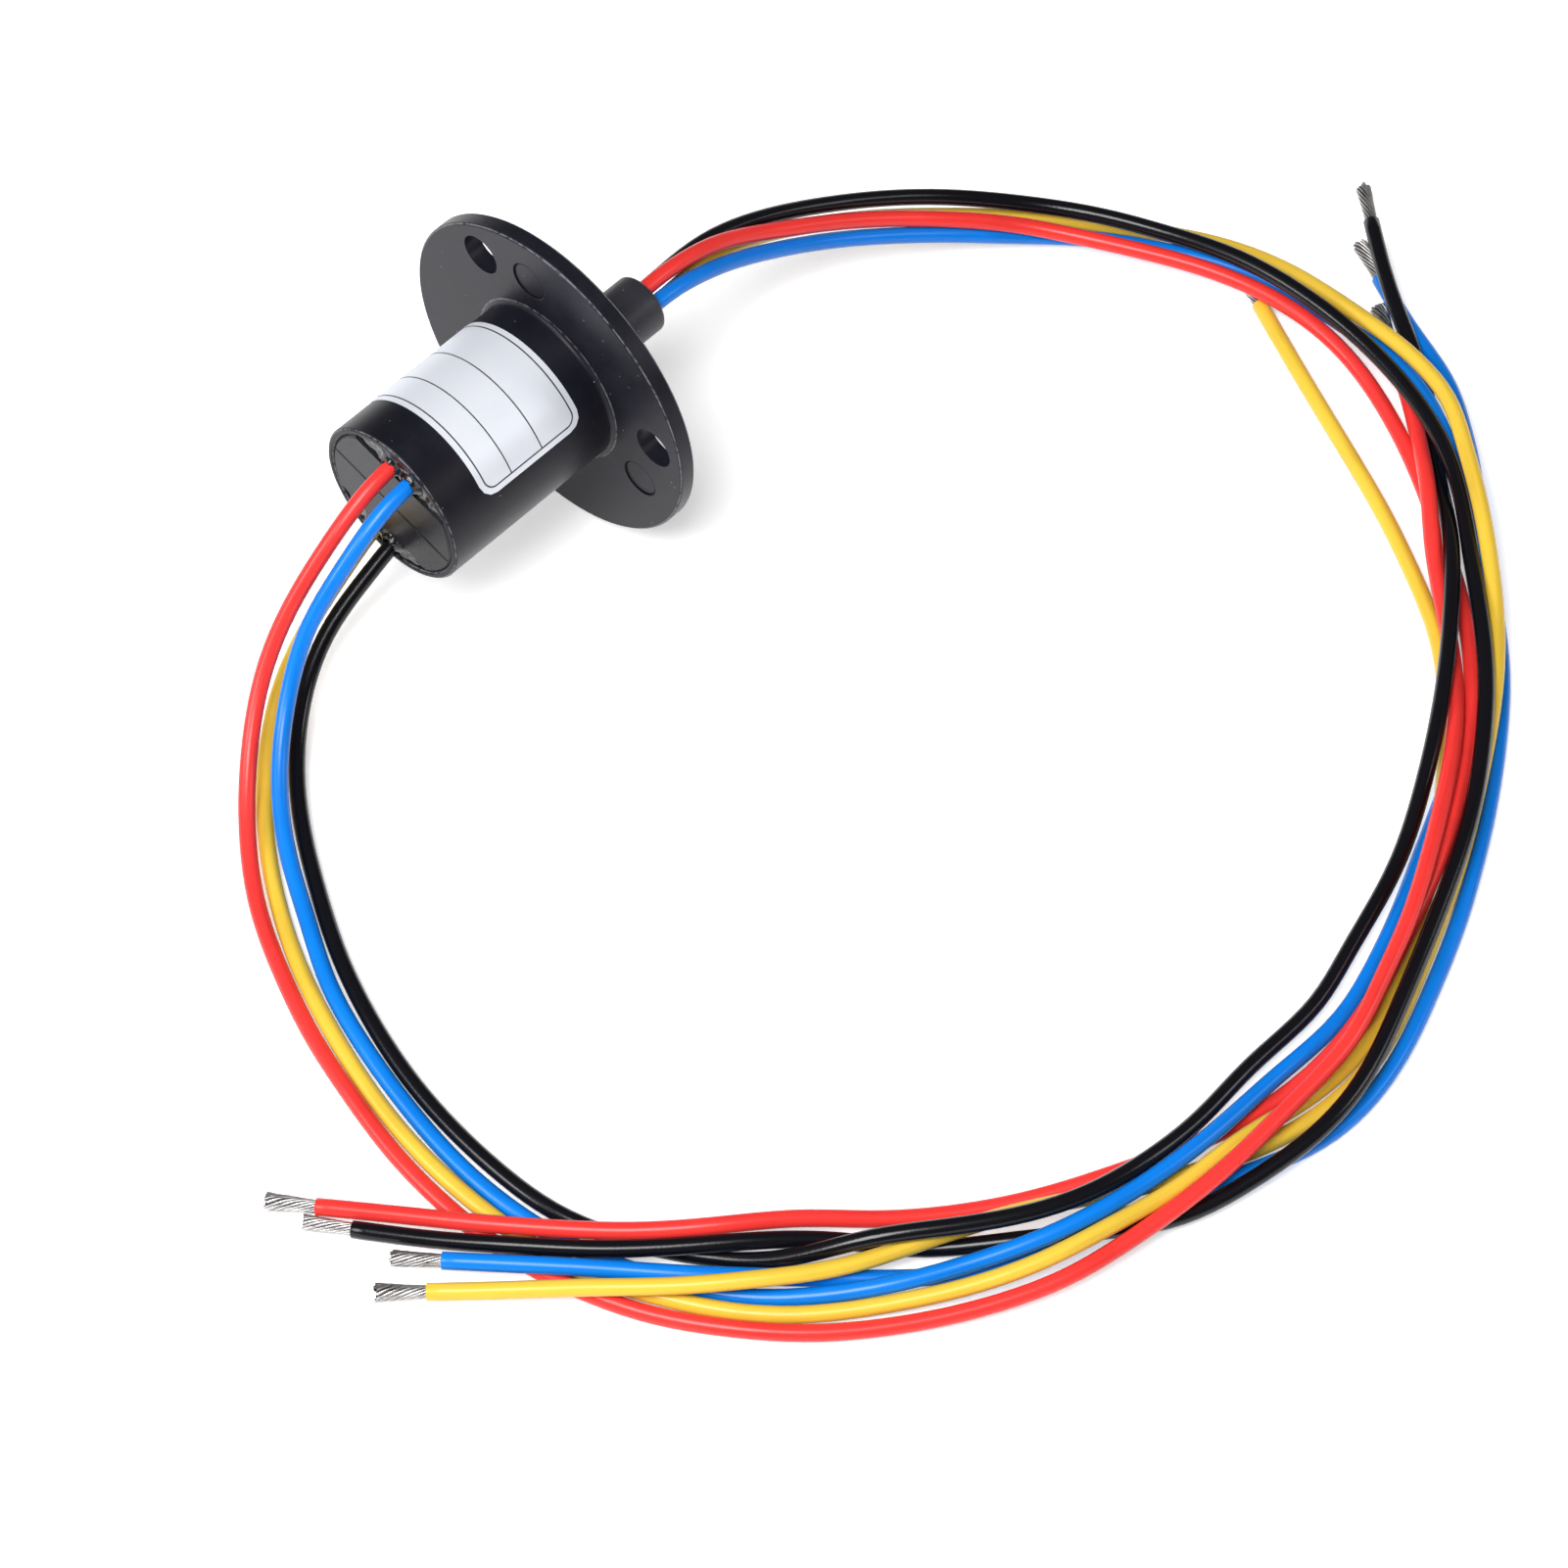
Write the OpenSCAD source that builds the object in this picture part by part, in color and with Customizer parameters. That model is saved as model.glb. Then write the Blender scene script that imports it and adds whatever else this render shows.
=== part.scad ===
// Capsule slip ring with four circuits: a flanged barrel that is bolted down, a shaft that turns
// inside it, and four leads at each end.
// Everything round is drawn along its own +Z and laid along +X, which runs from the cap, where the
// fixed leads leave, to the neck, where the turning leads leave.
// Origin: the centre of the flange's mounting face. +Z is up and the flange's rim stands on the table.

/* [Housing] */
// Outside diameter of the barrel
barrel_d = 22; // [21.5:0.5:24]
// Length of the barrel behind the flange's mounting face
barrel_l = 26.5; // [26:0.5:30]
// Thickness of the barrel's wall
barrel_wall = 1; // [0.8:0.1:1.2]
// Diameter of the flange
flange_d = 45; // [44:0.5:48]
// Thickness of the flange
flange_t = 2.4; // [2:0.1:4]
// Diameter of the circle through the three fixing holes
bolt_circle_d = 36; // [34:0.5:38]
// Diameter of each fixing hole
bolt_hole_d = 5.5; // [4:0.1:6]

/* [Rotor] */
// Diameter of the neck that stands out of the flange
neck_d = 7.9; // [7.2:0.1:7.9]
// Length of the neck in front of the flange
neck_l = 14; // [8:0.5:20]
// Diameter of the bore that carries the turning leads
shaft_bore_d = 5.4; // [5.3:0.1:5.7]

/* [Contacts] */
// Room for the brushes between a contact ring and the barrel's bore
brush_room = 4; // [3.8:0.1:4.2]
// Radial thickness of each contact ring
ring_wall = 1.5; // [1.3:0.1:1.7]
// Width of each contact ring
ring_w = 2.2; // [2:0.1:2.4]
// Width of each insulating barrier between the rings
barrier_w = 1.2; // [1:0.1:1.3]
// Diameter of the spring wire of the brushes
brush_wire_d = 0.3; // [0.2:0.05:0.4]

/* [Leads] */
// Diameter over the insulation of each lead
lead_d = 2.1; // [1.8:0.1:2.1]
// Diameter of the stranded conductor
conductor_d = 1.5; // [1:0.1:1.6]
// Length stripped at each lead's end
bare_l = 6; // [4:0.5:8]

// The piece to draw, or all of them

/* [Hidden] */
$fn = 48;
nudge = 0.01;

// Housing
barrel_r = barrel_d / 2;
flange_r = flange_d / 2;
bore_r = barrel_r - barrel_wall;
wall_x = -3;
edge = 0.3;
root_fillet = 0.6;
hole_angles = [53, 173, 293];
neck_gap = 0.4;
through = 1;

// Ejector marks sunk in the mounting face beside the holes
mark_d = 5;
mark_depth = 0.15;
mark_r = 16.5;
mark_turn = 28;

// Ball bearings: bore, outside diameter, width, ball diameter, number of balls
front_bearing = [8, 12, 3.5, 1.2, 9];
rear_bearing = [5, 9, 3, 1, 7];
race_land = 0.35;
race_edge = 0.15;
ball_gap = 0.05;
cage_t = 0.5;
pocket_gap = 0.06;
front_bearing_x = wall_x + front_bearing[2] / 2;

// Rotor shaft
neck_r = neck_d / 2;
neck_round = 0.5;
neck_step = 0.2;
relief_w = 0.6;
relief_depth = 0.2;
shaft_bore_r = shaft_bore_d / 2;
seat_r = front_bearing[0] / 2;
journal_r = rear_bearing[0] / 2;
shoulder_r = 4.6;
shoulder_t = 0.5;
collar_rise = 1;
collar_t = 1;
neck_x = flange_t + neck_step;
neck_end_x = flange_t + neck_l;
mouth_steps = 3;
bore_end_gap = 1;
wire_hole_r = 0.5;
wire_stub_gap = 0.05;

// Stack of rings and barriers, from the collar towards the cap
ring_r = bore_r - brush_room;
mandrel_r = ring_r - ring_wall;
collar_r = mandrel_r + collar_rise;
ring_count = 4;
stack_gap = 0.02;
barrier_rise = 0.6;
barrier_r = ring_r + barrier_rise;
pitch = ring_w + barrier_w;
stack_x = wall_x - collar_t;
stack_end_x = stack_x - ring_count * pitch - barrier_w;
groove_depth = 0.5;
groove_x = ring_w / 4;
groove_floor_w = brush_wire_d + 0.1;
groove_slope = 0.25;
function ring_x(i) = stack_x - barrier_w - ring_w / 2 - i * pitch;

// Rear end of the shaft
spacer_t = 1;
spacer_r = 3;
rear_bearing_x = stack_end_x - spacer_t - rear_bearing[2] / 2;
clip_t = 0.5;
clip_r = 3.2;
clip_depth = 0.4;
clip_opening = 80;
clip_x = rear_bearing_x - rear_bearing[2] / 2;
clip_lip = 0.7;
journal_end_x = clip_x - clip_t - clip_lip;

// Leads at their two ends
lead_r = lead_d / 2;
conductor_r = conductor_d / 2;
lead_side = 1.6;
lead_out = bore_r - 2.1;
lead_straight = 1;
neck_lead_space = 0.1;
neck_lead_r = (lead_d + neck_lead_space) / sqrt(2);
neck_lead_gap = 0.05;
neck_lead_turn = 75;

// Brush holder
split_angle = 15.5;
split_gap = 0.02;
split_edge = 0.25;
holder_gap = 0.05;
holder_r = bore_r - holder_gap;
holder_front_gap = 0.1;
holder_x = wall_x - holder_front_gap;
cavity_gap = 0.3;
cavity_r = barrier_r + cavity_gap;
cavity_end_x = stack_end_x - cavity_gap;
web_hole_r = 3.7;
channel_floor = 0.7;
channel_y = cavity_r + channel_floor;
resin_under_lead = 0.55;
deep_y = lead_out - lead_r - resin_under_lead;
end_pocket_x = journal_end_x - cavity_gap;

// Brushes: two spring wires over each ring, soldered to a pad
contact_gap = 0.1;
wire_r = brush_wire_d / 2;
brush_x = ring_r - groove_depth + contact_gap + wire_r;
brush_tip = 1.2;
slot_gap = 0.25;
slot_w = brush_wire_d + 2 * slot_gap;
slot_l = 2 * groove_x + brush_wire_d + 2 * slot_gap;
pad_w = 2;
pad_t = brush_wire_d + 0.05;
stub_r = 0.6;
stub_y = channel_y + pad_t + stub_r;
stub_gap = 0.15;

// Potting around the leads in the cap's two channels
potting_top_gap = 0.3;
lead_in_gap = 1.1;
lead_in_x = cavity_end_x - lead_in_gap;
potting_gap = 0.2;
potting_front_x = lead_in_x - potting_gap;
potting_rear_x = -barrel_l + potting_top_gap;
lump_r = 1.7;
lump_rise = 0.45;
lump_sink = 0.4;

// Potting in the neck
neck_potting_l = 3;
neck_potting_gap = 0.2;

// Label, wrapped on the upper side of the barrel
label_t = 0.08;
label_front_x = -4.2;
label_l = 16.3;
label_from = 27.5;
label_to = 157.5;
label_corner = 2;
label_corner_turn = label_corner / barrel_r * 180 / PI;
label_facets = 120;
corner_sides = 12;

// Lead routes: points of a smooth curve, with the third value the height of the lead's underside
// above the table
table_z = -flange_r;
lead_sides = 8;
lead_rings = 64;

// The red lead from the cap
stator_red_route = [
    [-31, -0.5, 28.5], [-38.5, -0.5, 23.5], [-45.1, 0, 16.5], [-51.1, -1.5, 10], [-57.6, -6,
    4.5], [-63.6, -12, 1.5], [-69.2, -19.5, 0.5], [-73.2, -28.1, 0], [-76.7, -36.6, 0], [-79.2,
    -45.6, 0.5], [-81.2, -54.6, 0], [-82.2, -64.1, 0.5], [-81.7, -73.7, 0], [-79.7, -82.7, 0.5],
    [-76.3, -91.2, 0.1], [-71.3, -99.3, 0.7], [-65.3, -106.3, 0.2], [-58.2, -112.3, 0.3],
    [-50.7, -117.7, 0.9], [-41.7, -122.7, 2], [-33.7, -124.7, 2.7], [-24.1, -126.7, 4.2],
    [-15.1, -127.2, 4.5], [-5.6, -126.7, 4.5], [4.2, -126.6, 4.6], [12.7, -123.4, 5.1], [21.6,
    -120.4, 5.2], [30.3, -116, 5.7], [38.3, -111.6, 5.7], [46.3, -106.5, 4.7], [53.5, -100.6,
    2.7], [59.1, -94.2, 2.6], [65.1, -86.6, 3.9], [71, -81.2, 5], [77.5, -74.7, 1.5], [83.3,
    -67.8, 0.7], [88.7, -60.2, 0.1]
];

// The blue lead from the cap
stator_blue_route = [
    [-31, -3.5, 28], [-38.5, -3.5, 22.5], [-44, -2.5, 15.5], [-49.5, -4.5, 8], [-56, -9.5, 4],
    [-61.5, -16.5, 1.5], [-66, -25.1, 0.5], [-70.5, -32.6, 0.5], [-73.5, -41.6, 0.5], [-75.5,
    -50.6, 0], [-77, -59.6, 0], [-77.5, -68.6, 0.5], [-76, -78.2, 0], [-73, -87.2, 0.5], [-68.6,
    -95.7, 0.1], [-63.1, -101.8, 0.2], [-56.1, -108.7, 2.3], [-48.1, -113.3, 2.5], [-40.1,
    -118.3, 4.6], [-31.5, -120.9, 4.6], [-22, -122.3, 4.1], [-13, -122.6, 3.2], [-4, -121.9,
    1.6], [6.9, -122.5, 0.9], [15.3, -120.2, 0.7], [24.1, -117.1, 0.5], [32.5, -113.3, 0],
    [41.9, -109.3, 0], [49.4, -105.7, 0.1], [57.5, -101.4, 0.2], [64.2, -95.9, 1.3], [71.5,
    -88.8, 2.6], [77.6, -83.2, 3.7], [83.1, -76.8, 2.3], [88.3, -70.1, 1.7], [91.5, -61.1, 0.6],
    [95.4, -52.5, 0.6]
];

// The yellow lead from the cap
stator_yellow_route = [
    [-30, 3.5, 11.5], [-38, 3, 7], [-46.5, 0, 5], [-53.5, -4.5, 1.5], [-60, -11, 0.5], [-65.5,
    -18.5, 0], [-70.1, -26.5, 0.1], [-73.6, -34.5, 0.6], [-76.6, -44.1, 0.1], [-78.6, -53.1,
    0.1], [-79.7, -62.1, 0.6], [-79.2, -71.6, 0.1], [-78.2, -80.6, 0.2], [-74.7, -89.1, 0.8],
    [-70.1, -97.1, 0.3], [-64.2, -104.2, 0.4], [-56.6, -110.3, 1], [-49.1, -115.8, 2.1], [-41.2,
    -120.3, 3.7], [-32.1, -122.8, 4.3], [-23.5, -124.7, 3.2], [-13.4, -125, 3.1], [-5.4, -126.5,
    1.5], [3.9, -127.1, 0.8], [12.9, -124.9, 0.3], [22.7, -120.1, 0.3], [30.6, -116.6, 1],
    [37.9, -111.7, 2.9], [45.1, -106.3, 1.8], [52.2, -100.3, 1.2], [58.3, -93.9, 0.5], [63.1,
    -85.9, 0.1], [67.5, -77.8, 0], [71, -69.2, 0.6], [74.7, -60.3, 0.6], [78.3, -52.1, 0.5],
    [82.1, -44.1, 0]
];

// The black lead from the cap
stator_black_route = [
    [-30.5, 0.5, 11], [-38.5, 0.5, 7], [-45.9, -3, 3.5], [-52.4, -8.5, 1], [-57.9, -15.6, 0.6],
    [-62.4, -23.1, 0.1], [-66.9, -31.1, 0.1], [-70.4, -39.6, 0.6], [-72.8, -48.1, 0.1], [-74.3,
    -57.1, 0.3], [-74.9, -66.2, 0.8], [-74.4, -75.2, 0.8], [-70.4, -84.2, 0.3], [-66.4, -90.7,
    0.4], [-61.9, -97.7, 1.6], [-53.9, -103.9, 5.4], [-47.2, -109.5, 5.6], [-39.8, -115.1, 5.7],
    [-31.8, -118.7, 5.3], [-22.8, -120.1, 4.4], [-13.9, -120, 2.5], [-4.7, -118.7, 1.9], [6.4,
    -119.4, 1.5], [14.5, -116.8, 1.6], [23.2, -114.7, 2.1], [30.8, -112.1, 2.2], [38.5, -108.3,
    4.3], [46.3, -103.8, 5.3], [53.8, -98.8, 5], [60.6, -93.6, 5.4], [68, -87.5, 4.5], [73.3,
    -81.6, 2], [79.8, -74.8, -0.3], [86, -68.5, 1.2], [90, -60.8, 3], [94.7, -53.7, 2.8],
    [100.5, -46.6, 2.4]
];

// The red lead from the neck
rotor_red_route = [
    [20.5, 0.5, 23.1], [29.5, 1, 20.7], [37.6, 0, 16.3], [46.1, -2.5, 12.8], [54, -5, 8.9], [62,
    -9.5, 5.5], [68.5, -15, 3.5], [73.3, -23, 2.9], [77.8, -31.5, 2.8], [81.6, -39.7, 2.3],
    [83.4, -49.1, 2.1], [83.2, -58, 1], [80.1, -67.1, 0.4], [75.9, -75.6, -0.1], [70.3, -83.9,
    0.1], [65, -91.5, 0.9], [58.7, -98.4, 2.5], [52.1, -104.6, 2.8], [44.1, -110, 3.4], [36.5,
    -114.4, 4], [27.6, -118.3, 3.4], [19.1, -121.2, 2.8], [10.5, -123.9, 2.1], [1.5, -124.9, 1],
    [-8.5, -123.6, 0.2], [-17.4, -120.5, 0.3], [-25.9, -117.1, 0.8], [-34.4, -112.6, 0.1],
    [-41.9, -107.6, 0.1], [-49.3, -101.7, 0.6], [-55.8, -95.6, 2.6], [-63.8, -90.1, 3.7],
    [-70.3, -83.6, 2.6], [-76.3, -76.7, 2.6], [-82.3, -69.3, 2.6], [-87.4, -61.4, 1.6], [-92.4,
    -53.9, 0.6]
];

// The blue lead from the neck
rotor_blue_route = [
    [20.5, -1.6, 22.1], [29, -1.1, 18.7], [37.5, -1.6, 14.2], [45.5, -3.1, 10.3], [53.4, -6.1,
    6.9], [61.4, -10.1, 3.5], [68.4, -15, 1.1], [75, -22, 1], [79.5, -30, 1.2], [83.5, -38.6,
    1.9], [85.5, -47.7, 1.6], [85.4, -57.2, 2.4], [84.9, -66.7, 3.3], [81.5, -74.7, 2.6], [76.8,
    -82.5, 0.8], [71.5, -90.2, 0.1], [65.4, -97.2, 0], [59, -103.7, 0.5], [51.6, -109.3, 0.1],
    [43.4, -114.7, 0], [35.4, -119.2, 0.5], [27.1, -123.4, 0], [18.4, -126.8, 0], [10.1, -130,
    0.5], [1.3, -131.7, 0], [-7.4, -131, 0], [-16.4, -127.3, 0.5], [-24.5, -123.7, 0], [-32.9,
    -119.2, 0], [-42.5, -117.1, 0], [-51, -110.6, 0.1], [-57, -104.6, 0.6], [-63.6, -98, 1.3],
    [-70.6, -91.5, 2.8], [-76, -84.5, 2.6], [-82, -77.5, 2.6], [-88, -70, 2]
];

// The yellow lead from the neck
rotor_yellow_route = [
    [20.5, -0.5, 20], [29.5, 1.5, 17.5], [38, 2, 13.6], [46.1, 0, 10.3], [54.7, -3, 6.9], [62.8,
    -7.1, 3.5], [69.8, -12.6, 1.8], [76.4, -19.6, 0.9], [81.5, -27.6, 1], [85.4, -35.7, 1.8],
    [87.2, -45.4, 3], [87, -54.9, 3.6], [86.1, -63.8, 5.3], [84.1, -73.3, 5.8], [79.1, -79.9,
    5.7], [73.5, -87.1, 6.4], [67.3, -94.4, 4.8], [60.5, -101.2, 4.1], [53.1, -106.8, 3.6],
    [45.4, -111.5, 2], [37.1, -116.3, 1.5], [28.4, -120.6, 1.8], [19.6, -124.1, 1.2], [11,
    -127.6, 1.2], [1.9, -129.7, 1.4], [-7.3, -128.4, 0.7], [-15.8, -125.3, 0.7], [-24.8, -121.2,
    1.2], [-32.3, -116.6, 2.3], [-40.8, -112, 3.3], [-49.3, -108, 3.2], [-57.9, -104.1, 3.1],
    [-65.4, -98.6, 3.9], [-72.9, -92, 3.4], [-79, -85, 2.8], [-85, -78, 1.1], [-91.5, -71, 0.5]
];

// The black lead from the neck
rotor_black_route = [
    [20.5, 1.6, 21.1], [30, 3.1, 19.1], [39, 2.1, 16.3], [47.4, 0.1, 12.9], [55.9, -3.4, 10],
    [63.9, -7.5, 6.7], [70.9, -13.5, 4.3], [76.5, -21.6, 4], [80.5, -30.1, 3.6], [83.4, -39.1,
    4.4], [84.4, -48.6, 4.5], [84, -58.3, 4.5], [82.1, -67.8, 4.6], [79.1, -76.8, 4], [73.8,
    -84.4, 4], [66.5, -91.7, 4.7], [60.6, -98.3, 5.5], [53.7, -105.1, 5.6], [45.7, -111.1, 5.1],
    [37.6, -116.2, 4.6], [29.1, -120, 4], [20, -123.7, 3.4], [11.4, -127.1, 3.7], [2.3, -130.5,
    3.5], [-7, -131.5, 3.4], [-16.1, -129.5, 1.8], [-25.2, -126.9, 0.7], [-33.2, -121.8, 2.2],
    [-41.2, -115.3, 2.5], [-49.1, -107.8, 0.3], [-53.5, -101.1, 0.9], [-60.9, -95, 3], [-67.9,
    -89.1, 2.9], [-75, -82.3, 2.8], [-81, -74.9, 2.6], [-86.5, -67.5, 1.6], [-91.6, -59, 0.5]
];
// Start of each route: two points in the cap, or two in line with the neck's bore
function turned(x, y, a) = [x * cos(a) - y * sin(a), x * sin(a) + y * cos(a)];
function cap_exit(side, out) = turned(side * lead_side, out * lead_out, split_angle);
function cap_start(side, out) = [
    [lead_in_x, cap_exit(side, out)[0], cap_exit(side, out)[1]],
    [-barrel_l + lead_straight, cap_exit(side, out)[0], cap_exit(side, out)[1]]
];
function neck_exit(i) = turned(neck_lead_r, 0, neck_lead_turn + 90 * i);
function neck_start(i) = [[neck_end_x + neck_lead_gap, neck_exit(i)[0], neck_exit(i)[1]]];
function above_table(route) = [for (p = route) [p[0], p[1], p[2] + table_z + lead_r]];

// Smooth curve through a row of points: a cubic spline, with both ends carried on straight
function with_ends(p) = concat(
    [2 * p[0] - p[1]],
    p,
    [2 * p[len(p) - 1] - p[len(p) - 2]]
);
function blend_of(a, b, c, d, t) =
    (a * pow(1 - t, 3) + b * (3 * pow(t, 3) - 6 * pow(t, 2) + 4)
    + c * (-3 * pow(t, 3) + 3 * pow(t, 2) + 3 * t + 1) + d * pow(t, 3)) / 6;
function curve_at(q, u) = let (i = min(floor(u), len(q) - 4))
    blend_of(q[i], q[i + 1], q[i + 2], q[i + 3], u - i);
function centres(p) = let (q = with_ends(p), last = len(p) - 1)
    [for (i = [0 : lead_rings - 1]) curve_at(q, last * i / (lead_rings - 1))];
function unit(v) = v / norm(v);
function heading(c, i) = unit(c[min(i + 1, len(c) - 1)] - c[max(i - 1, 0)]);
function sideways(h) = unit(cross([0, 0, 1], h));
function ring_at(c, i, r) = let (h = heading(c, i), s = sideways(h), v = cross(h, s))
    [for (k = [0 : lead_sides - 1])
        c[i] + r * (s * cos(360 * k / lead_sides) + v * sin(360 * k / lead_sides))];

// One row of points per lead
stator_red_line = concat(cap_start(1, 1), above_table(stator_red_route));
stator_blue_line = concat(cap_start(-1, 1), above_table(stator_blue_route));
stator_yellow_line = concat(cap_start(1, -1), above_table(stator_yellow_route));
stator_black_line = concat(cap_start(-1, -1), above_table(stator_black_route));
rotor_red_line = concat(neck_start(0), above_table(rotor_red_route));
rotor_blue_line = concat(neck_start(1), above_table(rotor_blue_route));
rotor_yellow_line = concat(neck_start(2), above_table(rotor_yellow_route));
rotor_black_line = concat(neck_start(3), above_table(rotor_black_route));

// Colours
moulding = [0.2, 0.2, 0.22];
insulator = [0.85, 0.82, 0.72];
gold = [0.85, 0.68, 0.3];
steel = [0.75, 0.76, 0.78];
copper = [0.75, 0.6, 0.45];
foil = [0.93, 0.93, 0.95];
resin = [0.08, 0.08, 0.09];
red = [0.95, 0.2, 0.18];
blue = [0.1, 0.45, 0.85];
yellow = [0.95, 0.8, 0.15];
black = [0.1, 0.1, 0.1];

// Lays a piece drawn along +Z along +X, at the given distance from the mounting face
module along_axis(x = 0) {
    translate([x, 0, 0])
        rotate([90, 0, 90])
            children();
}

// The same, turned so that local X runs along the line where the brush holder is split
module in_cap(x = 0) {
    along_axis(x)
        rotate([0, 0, split_angle])
            children();
}

// A ring from z0 up to z1, with its outer edges broken
module ring(outer, inner, z0, z1, broken = 0) {
    rotate_extrude()
        polygon([
            [inner, z0], [outer - broken, z0], [outer, z0 + broken],
            [outer, z1 - broken], [outer - broken, z1], [inner, z1]
        ]);
}

// One moulding: barrel, end wall with the bearing's pocket, and flange
module housing() {
    color(moulding)
        along_axis()
            difference() {
                union() {
                    rotate_extrude()
                        polygon([
                            [bore_r + edge, -barrel_l], [barrel_r - edge, -barrel_l],
                            [barrel_r, -barrel_l + edge], [barrel_r, -root_fillet],
                            [barrel_r + root_fillet, 0], [flange_r - edge, 0],
                            [flange_r, edge], [flange_r, flange_t - edge],
                            [flange_r - edge, flange_t], [seat_r + neck_gap + edge, flange_t],
                            [seat_r + neck_gap, flange_t - edge],
                            [seat_r + neck_gap, wall_x + front_bearing[2]],
                            [front_bearing[1] / 2, wall_x + front_bearing[2]],
                            [front_bearing[1] / 2, wall_x], [bore_r, wall_x],
                            [bore_r, -barrel_l + edge]
                        ]);
                }
                root_scoop();
                fixing_holes();
                ejector_marks();
            }
}

// Hollows the slope between barrel and flange into a fillet
module root_scoop() {
    rotate_extrude()
        translate([barrel_r + root_fillet, -root_fillet])
            circle(r = root_fillet);
}

module fixing_holes() {
    for (a = hole_angles)
        rotate([0, 0, a])
            translate([bolt_circle_d / 2, 0, -through])
                cylinder(d = bolt_hole_d, h = flange_t + 2 * through);
}

module ejector_marks() {
    for (a = hole_angles)
        rotate([0, 0, a + mark_turn])
            translate([mark_r, 0, -through])
                cylinder(d = mark_d, h = through + mark_depth);
}

// Foil label on the upper side of the barrel, with rounded corners
module label() {
    first = label_from + label_corner_turn - 2 * nudge;
    last = label_to - label_corner_turn;
    color(foil)
        along_axis(label_front_x - label_l)
            difference() {
                rotate([0, 0, label_from])
                    rotate_extrude(angle = label_to - label_from, $fn = label_facets)
                        translate([barrel_r, 0])
                            square([label_t, label_l]);
                label_corner_cut(last, label_l - label_corner, 0);
                label_corner_cut(first, label_l - label_corner, 90);
                label_corner_cut(first, label_corner, 180);
                label_corner_cut(last, label_corner, 270);
            }
}

// What is cut away outside the round of one corner
module label_corner_cut(a, z, turn) {
    rotate([0, 0, a])
        translate([barrel_r - through, 0, z])
            rotate([turn, 0, 0])
                difference() {
                    cube([2 * through, label_corner + through, label_corner + through]);
                    translate([-through, 0, 0])
                        rotate([0, 90, 0])
                            cylinder(r = label_corner, h = 4 * through, $fn = corner_sides);
                }
}

// Ball bearing pieces, centred on z = 0
function pitch_r(b) = (b[0] + b[1]) / 4;

module ball_track(b) {
    rotate_extrude()
        translate([pitch_r(b), 0])
            circle(r = b[3] / 2 + ball_gap);
}

module outer_race(b) {
    difference() {
        ring(b[1] / 2, pitch_r(b) + race_land, -b[2] / 2, b[2] / 2, race_edge);
        ball_track(b);
    }
}

module inner_race(b) {
    difference() {
        ring(pitch_r(b) - race_land, b[0] / 2, -b[2] / 2, b[2] / 2);
        ball_track(b);
    }
}

module at_each_ball(b) {
    for (i = [0 : b[4] - 1])
        rotate([0, 0, 360 * i / b[4]])
            translate([pitch_r(b), 0, 0])
                children();
}

module balls(b) {
    at_each_ball(b)
        sphere(d = b[3]);
}

module cage(b) {
    width = b[3] + 2 * cage_t;
    difference() {
        ring(pitch_r(b) + cage_t / 2, pitch_r(b) - cage_t / 2, -width / 2, width / 2);
        at_each_ball(b)
            rotate([0, 90, 0])
                cylinder(r = b[3] / 2 + pocket_gap, h = 2 * cage_t, center = true);
    }
}

module front_bearing_outer() {
    color(steel)
        along_axis(front_bearing_x)
            outer_race(front_bearing);
}

module front_bearing_inner() {
    color(steel)
        along_axis(front_bearing_x)
            inner_race(front_bearing);
}

module front_bearing_balls() {
    color(steel)
        along_axis(front_bearing_x)
            balls(front_bearing);
}

module front_bearing_cage() {
    color(insulator)
        along_axis(front_bearing_x)
            cage(front_bearing);
}

module rear_bearing_outer() {
    color(steel)
        along_axis(rear_bearing_x)
            outer_race(rear_bearing);
}

module rear_bearing_inner() {
    color(steel)
        along_axis(rear_bearing_x)
            inner_race(rear_bearing);
}

module rear_bearing_balls() {
    color(steel)
        along_axis(rear_bearing_x)
            balls(rear_bearing);
}

module rear_bearing_cage() {
    color(insulator)
        along_axis(rear_bearing_x)
            cage(rear_bearing);
}

// One moulding: neck, bearing seat, collar, mandrel for the stack and rear journal
module rotor_shaft() {
    color(moulding)
        along_axis()
            difference() {
                rotate_extrude()
                    polygon([
                        [0, journal_end_x], [journal_r - edge, journal_end_x],
                        [journal_r, journal_end_x + edge], [journal_r, clip_x - clip_t],
                        [journal_r - clip_depth, clip_x - clip_t],
                        [journal_r - clip_depth, clip_x], [journal_r, clip_x],
                        [journal_r, stack_end_x], [mandrel_r, stack_end_x],
                        [mandrel_r, stack_x], [collar_r, stack_x],
                        [collar_r, wall_x - shoulder_t], [shoulder_r, wall_x - shoulder_t],
                        [shoulder_r, wall_x], [seat_r, wall_x], [seat_r, neck_x - relief_w],
                        [neck_r - relief_depth, neck_x - relief_w],
                        [neck_r - relief_depth, neck_x], [neck_r, neck_x],
                        each neck_mouth(),
                        [shaft_bore_r, stack_end_x + bore_end_gap],
                        [0, stack_end_x + bore_end_gap]
                    ]);
                wire_holes();
            }
}

// The rounded rim of the neck's mouth
function neck_mouth() = [for (a = [0 : 90 / mouth_steps : 90]) [
    neck_r - neck_round * (1 - cos(a)),
    neck_end_x - neck_round * (1 - sin(a))
]];

// A hole in the mandrel under each ring, for that circuit's conductor
module wire_holes() {
    for (i = [0 : ring_count - 1])
        translate([0, 0, ring_x(i)])
            rotate([0, 0, neck_lead_turn + 90 * i])
                rotate([0, 90, 0])
                    cylinder(r = wire_hole_r, h = mandrel_r + through);
}

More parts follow.
